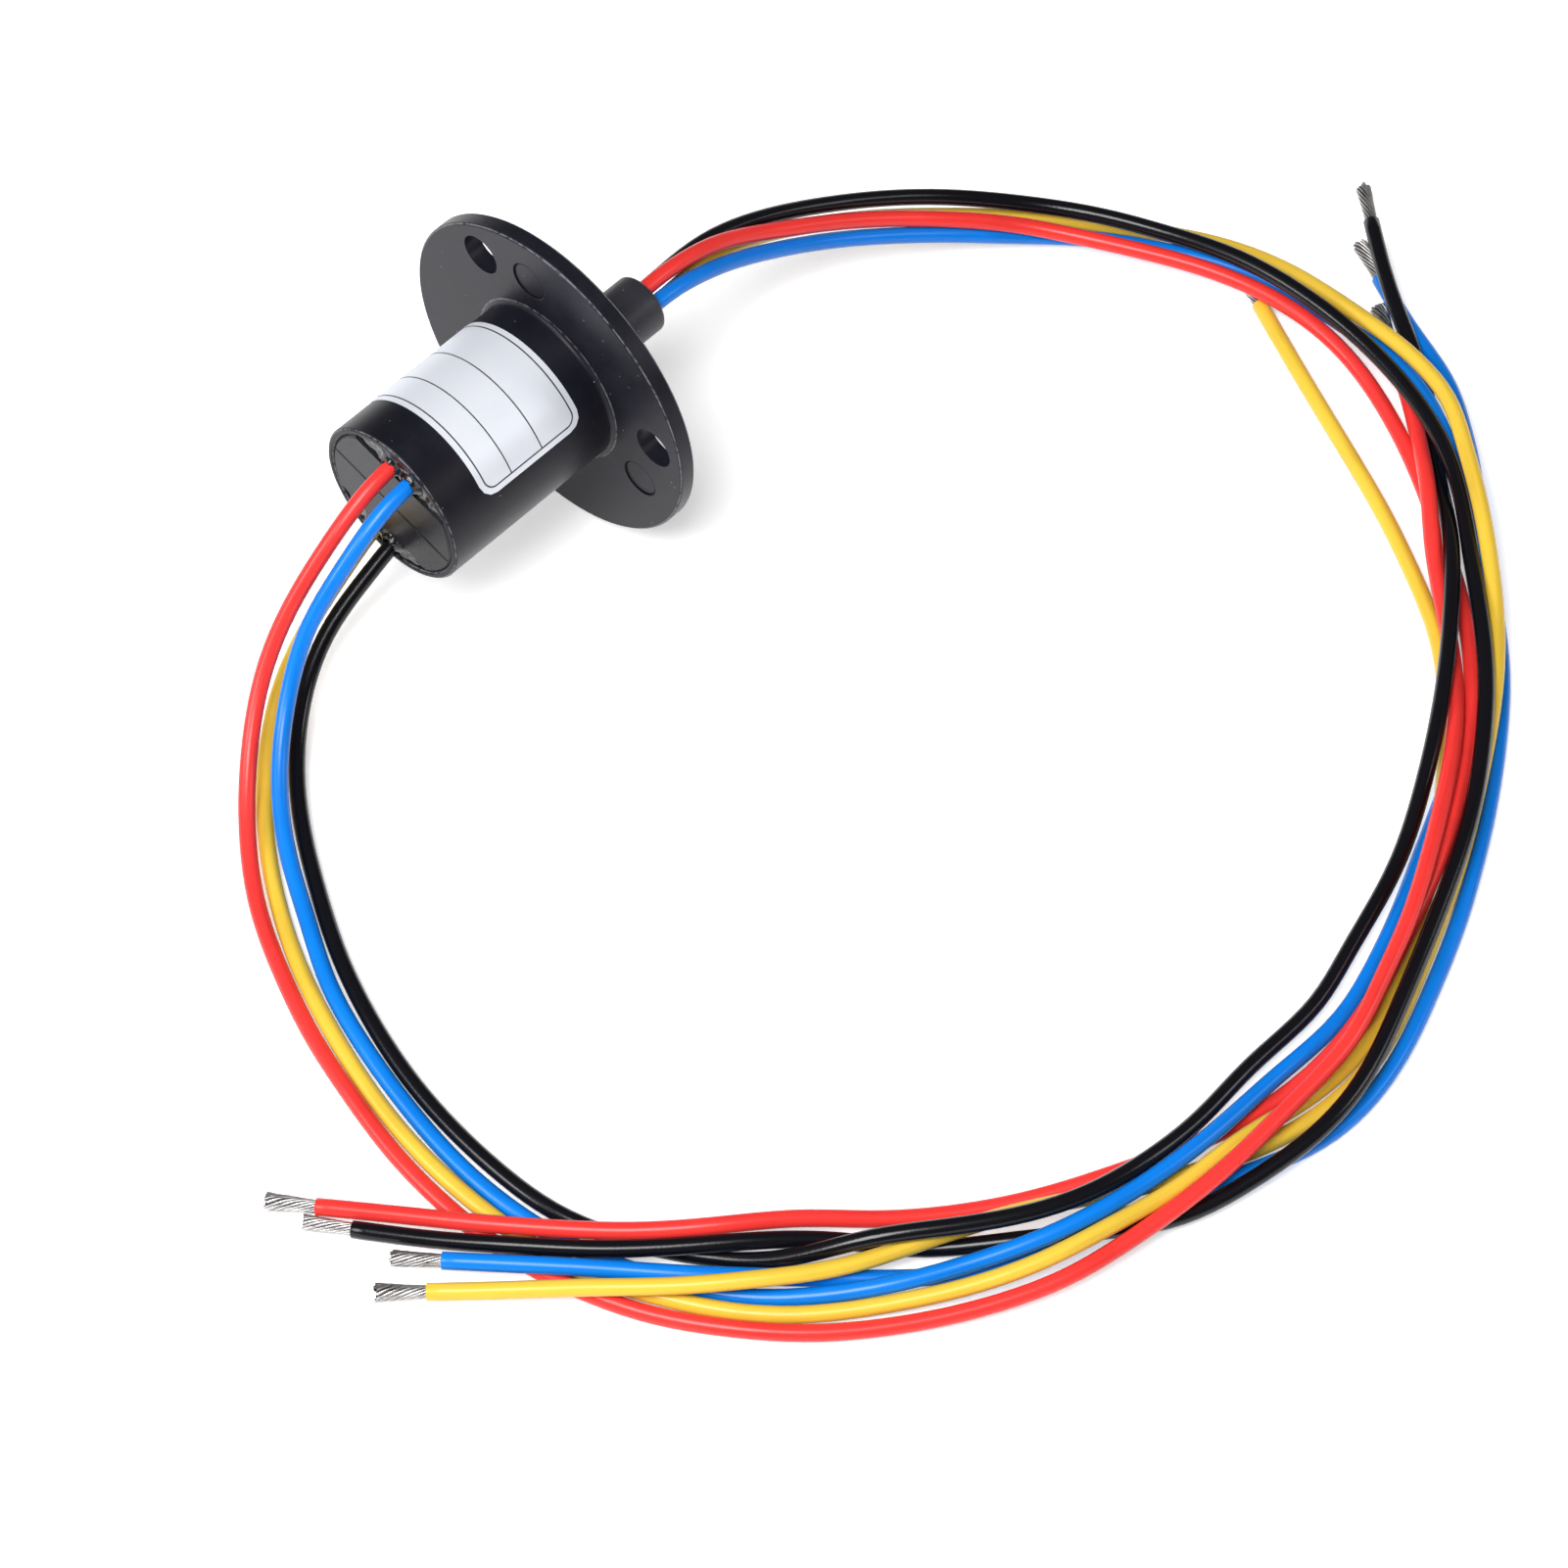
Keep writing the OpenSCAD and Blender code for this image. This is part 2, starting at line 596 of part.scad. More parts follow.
// Contact ring with two tracks for the brush wires
module contact_ring(i) {
    color(gold)
        along_axis(ring_x(i))
            difference() {
                ring(ring_r, mandrel_r + stack_gap, -ring_w / 2, ring_w / 2);
                for (z = [-groove_x, groove_x])
                    track(z);
            }
}

module track(z) {
    rotate_extrude()
        polygon([
            [ring_r - groove_depth, z - groove_floor_w / 2],
            [ring_r + through, z - groove_floor_w / 2 - groove_slope],
            [ring_r + through, z + groove_floor_w / 2 + groove_slope],
            [ring_r - groove_depth, z + groove_floor_w / 2]
        ]);
}

module insulating_barriers() {
    color(insulator)
        along_axis()
            for (i = [0 : ring_count])
                translate([0, 0, stack_x - barrier_w - i * pitch])
                    ring(barrier_r, mandrel_r + stack_gap, 0, barrier_w);
}

module rear_spacer() {
    color(steel)
        along_axis()
            ring(spacer_r, journal_r + stack_gap, stack_end_x - spacer_t, stack_end_x);
}

// External retaining ring in the journal's groove
module circlip() {
    color(steel)
        along_axis(clip_x - clip_t)
            rotate([0, 0, clip_opening / 2])
                rotate_extrude(angle = 360 - clip_opening)
                    translate([journal_r - clip_depth + stack_gap, 0])
                        square([clip_r - journal_r + clip_depth - stack_gap, clip_t]);
}

// Resin plug that holds the four leads in the neck's mouth
module neck_potting() {
    color(resin)
        along_axis(neck_end_x - neck_potting_gap - neck_potting_l)
            difference() {
                cylinder(r = shaft_bore_r, h = neck_potting_l);
                for (i = [0 : ring_count - 1])
                    rotate([0, 0, neck_lead_turn + 90 * i])
                        translate([neck_lead_r, 0, -through])
                            cylinder(r = lead_r, h = neck_potting_l + 2 * through);
            }
}

// Insulation of one lead inside the shaft, back to its own ring
module rotor_tail(i, shade) {
    start_x = ring_x(i) + conductor_r;
    color(shade)
        along_axis()
            rotate([0, 0, neck_lead_turn + 90 * i])
                translate([neck_lead_r, 0, 0])
                    ring(lead_r, conductor_r, start_x, neck_end_x);
}

// The conductors inside the shaft, each turned out to its ring
module rotor_conductors() {
    color(copper)
        along_axis()
            for (i = [0 : ring_count - 1])
                rotate([0, 0, neck_lead_turn + 90 * i])
                    rotor_conductor(i);
}

module rotor_conductor(i) {
    start_x = ring_x(i) - wire_hole_r;
    union() {
        translate([neck_lead_r, 0, start_x])
            cylinder(r = conductor_r, h = neck_end_x - start_x);
        translate([neck_lead_r, 0, ring_x(i)])
            rotate([0, 90, 0])
                cylinder(r = wire_hole_r - wire_stub_gap, h = mandrel_r - neck_lead_r);
    }
}

// Half of the brush holder: the half cylinder above the split line
module holder_half() {
    difference() {
        holder_blank();
        holder_cavity();
        translate([-barrel_r, -barrel_r, -barrel_l - through])
            cube([barrel_d, barrel_r + split_gap, barrel_l]);
        translate([-barrel_r, channel_y, cavity_end_x])
            cube([barrel_d, barrel_r, barrel_l]);
        translate([-barrel_r, deep_y, -barrel_l - through])
            cube([barrel_d, barrel_r, barrel_l + through + cavity_end_x]);
        translate([0, 0, -barrel_l])
            rotate([45, 0, 0])
                cube([barrel_d, split_edge * sqrt(2), split_edge * sqrt(2)], center = true);
        brush_slots();
    }
}

module holder_blank() {
    rotate_extrude()
        polygon([
            [0, -barrel_l], [holder_r - edge, -barrel_l], [holder_r, -barrel_l + edge],
            [holder_r, holder_x], [0, holder_x]
        ]);
}

// Room for the stack, the rear bearing and the end of the shaft
module holder_cavity() {
    rotate_extrude()
        polygon([
            [0, end_pocket_x], [web_hole_r, end_pocket_x], [web_hole_r, clip_x],
            [rear_bearing[1] / 2, clip_x], [rear_bearing[1] / 2, stack_end_x - spacer_t],
            [web_hole_r, stack_end_x - spacer_t], [web_hole_r, cavity_end_x],
            [cavity_r, cavity_end_x], [cavity_r, 0], [0, 0]
        ]);
}

// Slots that let the brush wires through the channel's floor
module brush_slots() {
    for (i = [0 : ring_count - 1])
        for (side = [-1, 1])
            translate([side * brush_x - slot_w / 2, 0, ring_x(i) - slot_l / 2])
                cube([slot_w, barrel_r, slot_l]);
}

module brush_holder_upper() {
    color(moulding)
        in_cap()
            holder_half();
}

module brush_holder_lower() {
    color(moulding)
        in_cap()
            rotate([0, 0, 180])
                holder_half();
}

// Two U-shaped spring wires across one ring, with the pad that joins them to the conductor
module brush_set(i, side) {
    color(gold)
        union() {
            for (z = [-groove_x, groove_x])
                translate([0, 0, ring_x(i) + z])
                    brush_wire();
            translate([side * lead_side - pad_w / 2, channel_y, ring_x(i) - pad_w / 2])
                cube([pad_w, pad_t, pad_w]);
        }
}

module brush_wire() {
    top = channel_y + wire_r;
    translate([-brush_x, top, 0])
        rotate([0, 90, 0])
            cylinder(r = wire_r, h = 2 * brush_x);
    for (x = [-brush_x, brush_x]) {
        translate([x, top, 0])
            sphere(r = wire_r);
        translate([x, top, 0])
            rotate([90, 0, 0])
                cylinder(r = wire_r, h = top + brush_tip);
    }
}

module brush_set_1() {
    in_cap()
        brush_set(0, 1);
}

module brush_set_2() {
    in_cap()
        rotate([0, 0, 180])
            brush_set(1, -1);
}

module brush_set_3() {
    in_cap()
        brush_set(2, -1);
}

module brush_set_4() {
    in_cap()
        rotate([0, 0, 180])
            brush_set(3, 1);
}

// The stripped inner ends of the fixed leads, laid along the channels to the pads
module stator_conductors() {
    color(copper)
        in_cap() {
            stator_conductor(0, 1);
            stator_conductor(2, -1);
            rotate([0, 0, 180]) {
                stator_conductor(1, -1);
                stator_conductor(3, 1);
            }
        }
}

module stator_conductor(i, side) {
    start_x = lead_in_x + stub_gap;
    translate([side * lead_side, stub_y, start_x])
        cylinder(r = stub_r, h = ring_x(i) + pad_w / 2 - start_x);
}

// Resin in the channel at one side of the cap, cast around two leads
module side_potting() {
    color(resin)
        difference() {
            intersection() {
                union() {
                    translate([0, 0, potting_rear_x])
                        cylinder(r = bore_r, h = potting_front_x - potting_rear_x);
                    potting_lumps();
                }
                translate([-barrel_r, deep_y, -barrel_l - through])
                    cube([barrel_d, bore_r - deep_y - nudge, barrel_l]);
            }
            for (side = [-1, 1])
                translate([side * lead_side, lead_out, -barrel_l - through])
                    cylinder(r = lead_r, h = barrel_l);
        }
}

// Low swellings where the resin climbs the leads
module potting_lumps() {
    for (side = [-1, 1])
        translate([
            side * lead_side, deep_y + lump_r - lump_sink, potting_rear_x - lump_rise + lump_r
        ])
            sphere(r = lump_r);
}

module side_potting_upper() {
    in_cap()
        side_potting();
}

module side_potting_lower() {
    in_cap()
        rotate([0, 0, 180])
            side_potting();
}

// A round lead swept along its own centre line
module lead(points, shade) {
    c = centres(points);
    n = lead_sides;
    last = lead_rings - 1;
    skin = [for (i = [0 : last]) each ring_at(c, i, lead_r)];
    walls = [for (i = [0 : last - 1]) for (k = [0 : n - 1])
        each [
            [i * n + k, (i + 1) * n + k, i * n + (k + 1) % n],
            [i * n + (k + 1) % n, (i + 1) * n + k, (i + 1) * n + (k + 1) % n]
        ]];
    first_end = [for (k = [0 : n - 1]) k];
    last_end = [for (k = [n - 1 : -1 : 0]) last * n + k];
    color(shade)
        polyhedron(points = skin, faces = concat(walls, [first_end], [last_end]), convexity = 10);
}

// The stripped end of a lead, in line with the end of its insulation
module bare_end(points) {
    c = centres(points);
    h = heading(c, lead_rings - 1);
    color(steel)
        translate(c[lead_rings - 1])
            rotate([0, acos(h[2]), atan2(h[1], h[0])])
                cylinder(r = conductor_r, h = bare_l);
}

housing();
label();
brush_holder_upper();
brush_holder_lower();
brush_set_1();
brush_set_2();
brush_set_3();
brush_set_4();
side_potting_upper();
side_potting_lower();
stator_conductors();
front_bearing_outer();
front_bearing_inner();
front_bearing_balls();
front_bearing_cage();
rear_bearing_outer();
rear_bearing_inner();
rear_bearing_balls();
rear_bearing_cage();
rotor_shaft();
contact_ring(0);  // contact_ring_1
contact_ring(1);  // contact_ring_2
contact_ring(2);  // contact_ring_3
contact_ring(3);  // contact_ring_4
insulating_barriers();
rear_spacer();
circlip();
neck_potting();
rotor_tail(0, red);  // rotor_tail_red
rotor_tail(1, blue);  // rotor_tail_blue
rotor_tail(2, yellow);  // rotor_tail_yellow
rotor_tail(3, black);  // rotor_tail_black
rotor_conductors();
lead(stator_red_line, red);  // stator_lead_red
lead(stator_blue_line, blue);  // stator_lead_blue
lead(stator_yellow_line, yellow);  // stator_lead_yellow
lead(stator_black_line, black);  // stator_lead_black
bare_end(stator_red_line);  // stator_end_red
bare_end(stator_blue_line);  // stator_end_blue
bare_end(stator_yellow_line);  // stator_end_yellow
bare_end(stator_black_line);  // stator_end_black
lead(rotor_red_line, red);  // rotor_lead_red
lead(rotor_blue_line, blue);  // rotor_lead_blue
lead(rotor_yellow_line, yellow);  // rotor_lead_yellow
lead(rotor_black_line, black);  // rotor_lead_black
bare_end(rotor_red_line);  // rotor_end_red
bare_end(rotor_blue_line);  // rotor_end_blue
bare_end(rotor_yellow_line);  // rotor_end_yellow
bare_end(rotor_black_line);  // rotor_end_black
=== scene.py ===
# %% [markdown]
# # A capsule slip ring, dressed in Blender
# A slip ring carries current into something that keeps turning. This one has a black flanged barrel
# that is screwed down, a neck that turns in it, and four coloured leads at each end.
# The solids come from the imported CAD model, which stays exactly where it is. This script gives them
# their finishes, and swaps the plain leads, stripped ends and resin for detailed ones.

# %% Load the frame
import bpy
import math
import numpy as np
from mathutils import Matrix, Vector


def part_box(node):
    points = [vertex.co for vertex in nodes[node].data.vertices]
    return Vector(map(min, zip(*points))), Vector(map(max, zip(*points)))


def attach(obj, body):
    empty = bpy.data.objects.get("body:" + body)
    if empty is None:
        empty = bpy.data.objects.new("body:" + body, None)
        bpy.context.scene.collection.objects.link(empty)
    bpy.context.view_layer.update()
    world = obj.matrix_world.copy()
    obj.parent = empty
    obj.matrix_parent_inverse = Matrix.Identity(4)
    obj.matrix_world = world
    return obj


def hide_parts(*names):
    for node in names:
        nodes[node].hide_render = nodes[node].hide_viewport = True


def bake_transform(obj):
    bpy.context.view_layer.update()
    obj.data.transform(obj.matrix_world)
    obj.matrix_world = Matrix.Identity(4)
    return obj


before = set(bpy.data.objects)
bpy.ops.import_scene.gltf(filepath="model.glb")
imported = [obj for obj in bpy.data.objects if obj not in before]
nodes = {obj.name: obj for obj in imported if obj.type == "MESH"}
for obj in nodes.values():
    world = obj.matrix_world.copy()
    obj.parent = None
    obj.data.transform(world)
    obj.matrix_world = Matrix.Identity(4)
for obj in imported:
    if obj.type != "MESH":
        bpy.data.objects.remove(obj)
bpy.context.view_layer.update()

# %% [markdown]
# ## Camera
# The object is small and was looked at through a long lens from well above, so its far side is
# hardly smaller than its near side. The camera stands 78 cm away, with a lens of 146 mm on a
# 36 mm sensor, and is turned by tracking a point on the table, which keeps it level.

# %% Place the camera
eye = Vector((-0.32563, -0.35126, 0.60591))
look_at = Vector((-0.01837, -0.05709, -0.01))
lens_data = bpy.data.cameras.new("view_camera")
lens_data.lens = 146.16
lens_data.sensor_width = 36
camera = bpy.data.objects.new("view_camera", lens_data)
camera.location = eye
camera.rotation_euler = (look_at - eye).to_track_quat("-Z", "Y").to_euler()
bpy.context.scene.collection.objects.link(camera)
bpy.context.scene.camera = camera
print("Camera is", round((look_at - eye).length, 3), "m from", tuple(look_at))

# %% [markdown]
# ## The leads' centre lines
# Each lead is a stranded wire in a soft sleeve. It leaves its exit straight, drops to the table and
# lies there in one wide loop, over and under its neighbours. A lead could be a Bezier curve, but
# the solids follow a uniform cubic spline, so the same spline is worked out here from the same
# points. The third value is the height of the lead's underside over the table.

# %% Routes of the fixed leads and the turning leads
lead_r = 0.00105
table_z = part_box("housing")[0].z
routes = {
    "stator_red": [
        (-.031, -.0005, .0285), (-.0385, -.0005, .0235), (-.0451, 0, .0165), (-.0511, -.0015, .01),
        (-.0576, -.006, .0045), (-.0636, -.012, .0015), (-.0692, -.0195, .0005),
        (-.0732, -.0281, 0), (-.0767, -.0366, 0), (-.0792, -.0456, .0005), (-.0812, -.0546, 0),
        (-.0822, -.0641, .0005), (-.0817, -.0737, 0), (-.0797, -.0827, .0005),
        (-.0763, -.0912, .0001), (-.0713, -.0993, .0007), (-.0653, -.1063, .0002),
        (-.0582, -.1123, .0003), (-.0507, -.1177, .0009), (-.0417, -.1227, .002),
        (-.0337, -.1247, .0027), (-.0241, -.1267, .0042), (-.0151, -.1272, .0045),
        (-.0056, -.1267, .0045), (.0042, -.1266, .0046), (.0127, -.1234, .0051),
        (.0216, -.1204, .0052), (.0303, -.116, .0057), (.0383, -.1116, .0057),
        (.0463, -.1065, .0047), (.0535, -.1006, .0027), (.0591, -.0942, .0026),
        (.0651, -.0866, .0039), (.071, -.0812, .005), (.0775, -.0747, .0015),
        (.0833, -.0678, .0007), (.0887, -.0602, .0001)],
    "stator_blue": [
        (-.031, -.0035, .028), (-.0385, -.0035, .0225), (-.044, -.0025, .0155),
        (-.0495, -.0045, .008), (-.056, -.0095, .004), (-.0615, -.0165, .0015),
        (-.066, -.0251, .0005), (-.0705, -.0326, .0005), (-.0735, -.0416, .0005),
        (-.0755, -.0506, 0), (-.077, -.0596, 0), (-.0775, -.0686, .0005), (-.076, -.0782, 0),
        (-.073, -.0872, .0005), (-.0686, -.0957, .0001), (-.0631, -.1018, .0002),
        (-.0561, -.1087, .0023), (-.0481, -.1133, .0025), (-.0401, -.1183, .0046),
        (-.0315, -.1209, .0046), (-.022, -.1223, .0041), (-.013, -.1226, .0032),
        (-.004, -.1219, .0016), (.0069, -.1225, .0009), (.0153, -.1202, .0007),
        (.0241, -.1171, .0005), (.0325, -.1133, 0), (.0419, -.1093, 0), (.0494, -.1057, .0001),
        (.0575, -.1014, .0002), (.0642, -.0959, .0013), (.0715, -.0888, .0026),
        (.0776, -.0832, .0037), (.0831, -.0768, .0023), (.0883, -.0701, .0017),
        (.0915, -.0611, .0006), (.0954, -.0525, .0006)],
    "stator_yellow": [
        (-.03, .0035, .0115), (-.038, .003, .007), (-.0465, 0, .005), (-.0535, -.0045, .0015),
        (-.06, -.011, .0005), (-.0655, -.0185, 0), (-.0701, -.0265, .0001), (-.0736, -.0345, .0006),
        (-.0766, -.0441, .0001), (-.0786, -.0531, .0001), (-.0797, -.0621, .0006),
        (-.0792, -.0716, .0001), (-.0782, -.0806, .0002), (-.0747, -.0891, .0008),
        (-.0701, -.0971, .0003), (-.0642, -.1042, .0004), (-.0566, -.1103, .001),
        (-.0491, -.1158, .0021), (-.0412, -.1203, .0037), (-.0321, -.1228, .0043),
        (-.0235, -.1247, .0032), (-.0134, -.125, .0031), (-.0054, -.1265, .0015),
        (.0039, -.1271, .0008), (.0129, -.1249, .0003), (.0227, -.1201, .0003),
        (.0306, -.1166, .001), (.0379, -.1117, .0029), (.0451, -.1063, .0018),
        (.0522, -.1003, .0012), (.0583, -.0939, .0005), (.0631, -.0859, .0001), (.0675, -.0778, 0),
        (.071, -.0692, .0006), (.0747, -.0603, .0006), (.0783, -.0521, .0005), (.0821, -.0441, 0)],
    "stator_black": [
        (-.0305, .0005, .011), (-.0385, .0005, .007), (-.0459, -.003, .0035),
        (-.0524, -.0085, .001), (-.0579, -.0156, .0006), (-.0624, -.0231, .0001),
        (-.0669, -.0311, .0001), (-.0704, -.0396, .0006), (-.0728, -.0481, .0001),
        (-.0743, -.0571, .0003), (-.0749, -.0662, .0008), (-.0744, -.0752, .0008),
        (-.0704, -.0842, .0003), (-.0664, -.0907, .0004), (-.0619, -.0977, .0016),
        (-.0539, -.1039, .0054), (-.0472, -.1095, .0056), (-.0398, -.1151, .0057),
        (-.0318, -.1187, .0053), (-.0228, -.1201, .0044), (-.0139, -.12, .0025),
        (-.0047, -.1187, .0019), (.0064, -.1194, .0015), (.0145, -.1168, .0016),
        (.0232, -.1147, .0021), (.0308, -.1121, .0022), (.0385, -.1083, .0043),
        (.0463, -.1038, .0053), (.0538, -.0988, .005), (.0606, -.0936, .0054),
        (.068, -.0875, .0045), (.0733, -.0816, .002), (.0798, -.0748, -.0003),
        (.086, -.0685, .0012), (.09, -.0608, .003), (.0947, -.0537, .0028), (.1005, -.0466, .0024)],
    "rotor_red": [
        (.0205, .0005, .0231), (.0295, .001, .0207), (.0376, 0, .0163), (.0461, -.0025, .0128),
        (.054, -.005, .0089), (.062, -.0095, .0055), (.0685, -.015, .0035), (.0733, -.023, .0029),
        (.0778, -.0315, .0028), (.0816, -.0397, .0023), (.0834, -.0491, .0021),
        (.0832, -.058, .001), (.0801, -.0671, .0004), (.0759, -.0756, -.0001),
        (.0703, -.0839, .0001), (.065, -.0915, .0009), (.0587, -.0984, .0025),
        (.0521, -.1046, .0028), (.0441, -.11, .0034), (.0365, -.1144, .004), (.0276, -.1183, .0034),
        (.0191, -.1212, .0028), (.0105, -.1239, .0021), (.0015, -.1249, .001),
        (-.0085, -.1236, .0002), (-.0174, -.1205, .0003), (-.0259, -.1171, .0008),
        (-.0344, -.1126, .0001), (-.0419, -.1076, .0001), (-.0493, -.1017, .0006),
        (-.0558, -.0956, .0026), (-.0638, -.0901, .0037), (-.0703, -.0836, .0026),
        (-.0763, -.0767, .0026), (-.0823, -.0693, .0026), (-.0874, -.0614, .0016),
        (-.0924, -.0539, .0006)],
    "rotor_blue": [
        (.0205, -.0016, .0221), (.029, -.0011, .0187), (.0375, -.0016, .0142),
        (.0455, -.0031, .0103), (.0534, -.0061, .0069), (.0614, -.0101, .0035),
        (.0684, -.015, .0011), (.075, -.022, .001), (.0795, -.03, .0012), (.0835, -.0386, .0019),
        (.0855, -.0477, .0016), (.0854, -.0572, .0024), (.0849, -.0667, .0033),
        (.0815, -.0747, .0026), (.0768, -.0825, .0008), (.0715, -.0902, .0001), (.0654, -.0972, 0),
        (.059, -.1037, .0005), (.0516, -.1093, .0001), (.0434, -.1147, 0), (.0354, -.1192, .0005),
        (.0271, -.1234, 0), (.0184, -.1268, 0), (.0101, -.13, .0005), (.0013, -.1317, 0),
        (-.0074, -.131, 0), (-.0164, -.1273, .0005), (-.0245, -.1237, 0), (-.0329, -.1192, 0),
        (-.0425, -.1171, 0), (-.051, -.1106, .0001), (-.057, -.1046, .0006), (-.0636, -.098, .0013),
        (-.0706, -.0915, .0028), (-.076, -.0845, .0026), (-.082, -.0775, .0026),
        (-.088, -.07, .002)],
    "rotor_yellow": [
        (.0205, -.0005, .02), (.0295, .0015, .0175), (.038, .002, .0136), (.0461, 0, .0103),
        (.0547, -.003, .0069), (.0628, -.0071, .0035), (.0698, -.0126, .0018),
        (.0764, -.0196, .0009), (.0815, -.0276, .001), (.0854, -.0357, .0018),
        (.0872, -.0454, .003), (.087, -.0549, .0036), (.0861, -.0638, .0053),
        (.0841, -.0733, .0058), (.0791, -.0799, .0057), (.0735, -.0871, .0064),
        (.0673, -.0944, .0048), (.0605, -.1012, .0041), (.0531, -.1068, .0036),
        (.0454, -.1115, .002), (.0371, -.1163, .0015), (.0284, -.1206, .0018),
        (.0196, -.1241, .0012), (.011, -.1276, .0012), (.0019, -.1297, .0014),
        (-.0073, -.1284, .0007), (-.0158, -.1253, .0007), (-.0248, -.1212, .0012),
        (-.0323, -.1166, .0023), (-.0408, -.112, .0033), (-.0493, -.108, .0032),
        (-.0579, -.1041, .0031), (-.0654, -.0986, .0039), (-.0729, -.092, .0034),
        (-.079, -.085, .0028), (-.085, -.078, .0011), (-.0915, -.071, .0005)],
    "rotor_black": [
        (.0205, .0016, .0211), (.03, .0031, .0191), (.039, .0021, .0163), (.0474, .0001, .0129),
        (.0559, -.0034, .01), (.0639, -.0075, .0067), (.0709, -.0135, .0043), (.0765, -.0216, .004),
        (.0805, -.0301, .0036), (.0834, -.0391, .0044), (.0844, -.0486, .0045),
        (.084, -.0583, .0045), (.0821, -.0678, .0046), (.0791, -.0768, .004), (.0738, -.0844, .004),
        (.0665, -.0917, .0047), (.0606, -.0983, .0055), (.0537, -.1051, .0056),
        (.0457, -.1111, .0051), (.0376, -.1162, .0046), (.0291, -.12, .004), (.02, -.1237, .0034),
        (.0114, -.1271, .0037), (.0023, -.1305, .0035), (-.007, -.1315, .0034),
        (-.0161, -.1295, .0018), (-.0252, -.1269, .0007), (-.0332, -.1218, .0022),
        (-.0412, -.1153, .0025), (-.0491, -.1078, .0003), (-.0535, -.1011, .0009),
        (-.0609, -.095, .003), (-.0679, -.0891, .0029), (-.075, -.0823, .0028),
        (-.081, -.0749, .0026), (-.0865, -.0675, .0016), (-.0916, -.059, .0005)],
}
print("Routes:", ", ".join(routes))

# %% Centre lines from the routes
def turned(x, y, degrees):
    """A point in the cross-section, turned about the axis of rotation."""
    c, s = math.cos(math.radians(degrees)), math.sin(math.radians(degrees))
    return x * c - y * s, x * s + y * c


barrel_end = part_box("housing")[0].x
neck_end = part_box("rotor_shaft")[1].x
cap_turn = 15.5
cap_places = {"red": (0.0016, 0.0079), "blue": (-0.0016, 0.0079),
              "yellow": (0.0016, -0.0079), "black": (-0.0016, -0.0079)}
neck_turns = {"red": 75, "blue": 165, "yellow": 255, "black": 345}
neck_lead_r = 0.0022 / math.sqrt(2)


def start_of(name):
    """The first points of a lead: inside the cap, or just in front of the neck."""
    side, shade = name.split("_")
    if side == "stator":
        y, z = turned(*cap_places[shade], cap_turn)
        return [(barrel_end + 0.0063, y, z), (barrel_end + 0.001, y, z)]
    y, z = turned(neck_lead_r, 0, neck_turns[shade])
    return [(neck_end + 0.00005, y, z)]


def centre_line(points, count):
    """Points along the uniform cubic spline, with both ends carried on straight."""
    p = np.array(points, float)
    p = np.vstack([2 * p[0] - p[1], p, 2 * p[-1] - p[-2]])
    u = np.linspace(0, len(points) - 1, count)
    i = np.minimum(u.astype(int), len(points) - 2)
    t = (u - i)[:, None]
    return (p[i] * (1 - t) ** 3 + p[i + 1] * (3 * t ** 3 - 6 * t ** 2 + 4)
            + p[i + 2] * (-3 * t ** 3 + 3 * t ** 2 + 3 * t + 1) + p[i + 3] * t ** 3) / 6


rings_per_lead = 190
lines = {}
for name, route in routes.items():
    lying = [(x, y, h + table_z + lead_r) for x, y, h in route]
    lines[name] = centre_line(start_of(name) + lying, rings_per_lead)

# %% [markdown]
# ## Insulation
# The sleeve is extruded plastic: round, smooth, with the faint pull marks of the die along it, and
# cut square at the stripped end. A swept tube with sixteen sides is round enough at this size. Two
# attributes are stored on it, the distance along the lead and the turn around it, so that the
# material's marks can run with the lead through every bend.

# %% Sweep a sleeve along a centre line
def directions(line):
    """Unit heading, sideways and upward vectors at each point of a line."""
    heading = np.gradient(line, axis=0)
    heading /= np.linalg.norm(heading, axis=1)[:, None]
    sideways = np.cross([0, 0, 1], heading)
    sideways /= np.linalg.norm(sideways, axis=1)[:, None]
    return heading, sideways, np.cross(heading, sideways)


def select_only(obj):
    bpy.ops.object.select_all(action="DESELECT")
    obj.select_set(True)
    bpy.context.view_layer.objects.active = obj


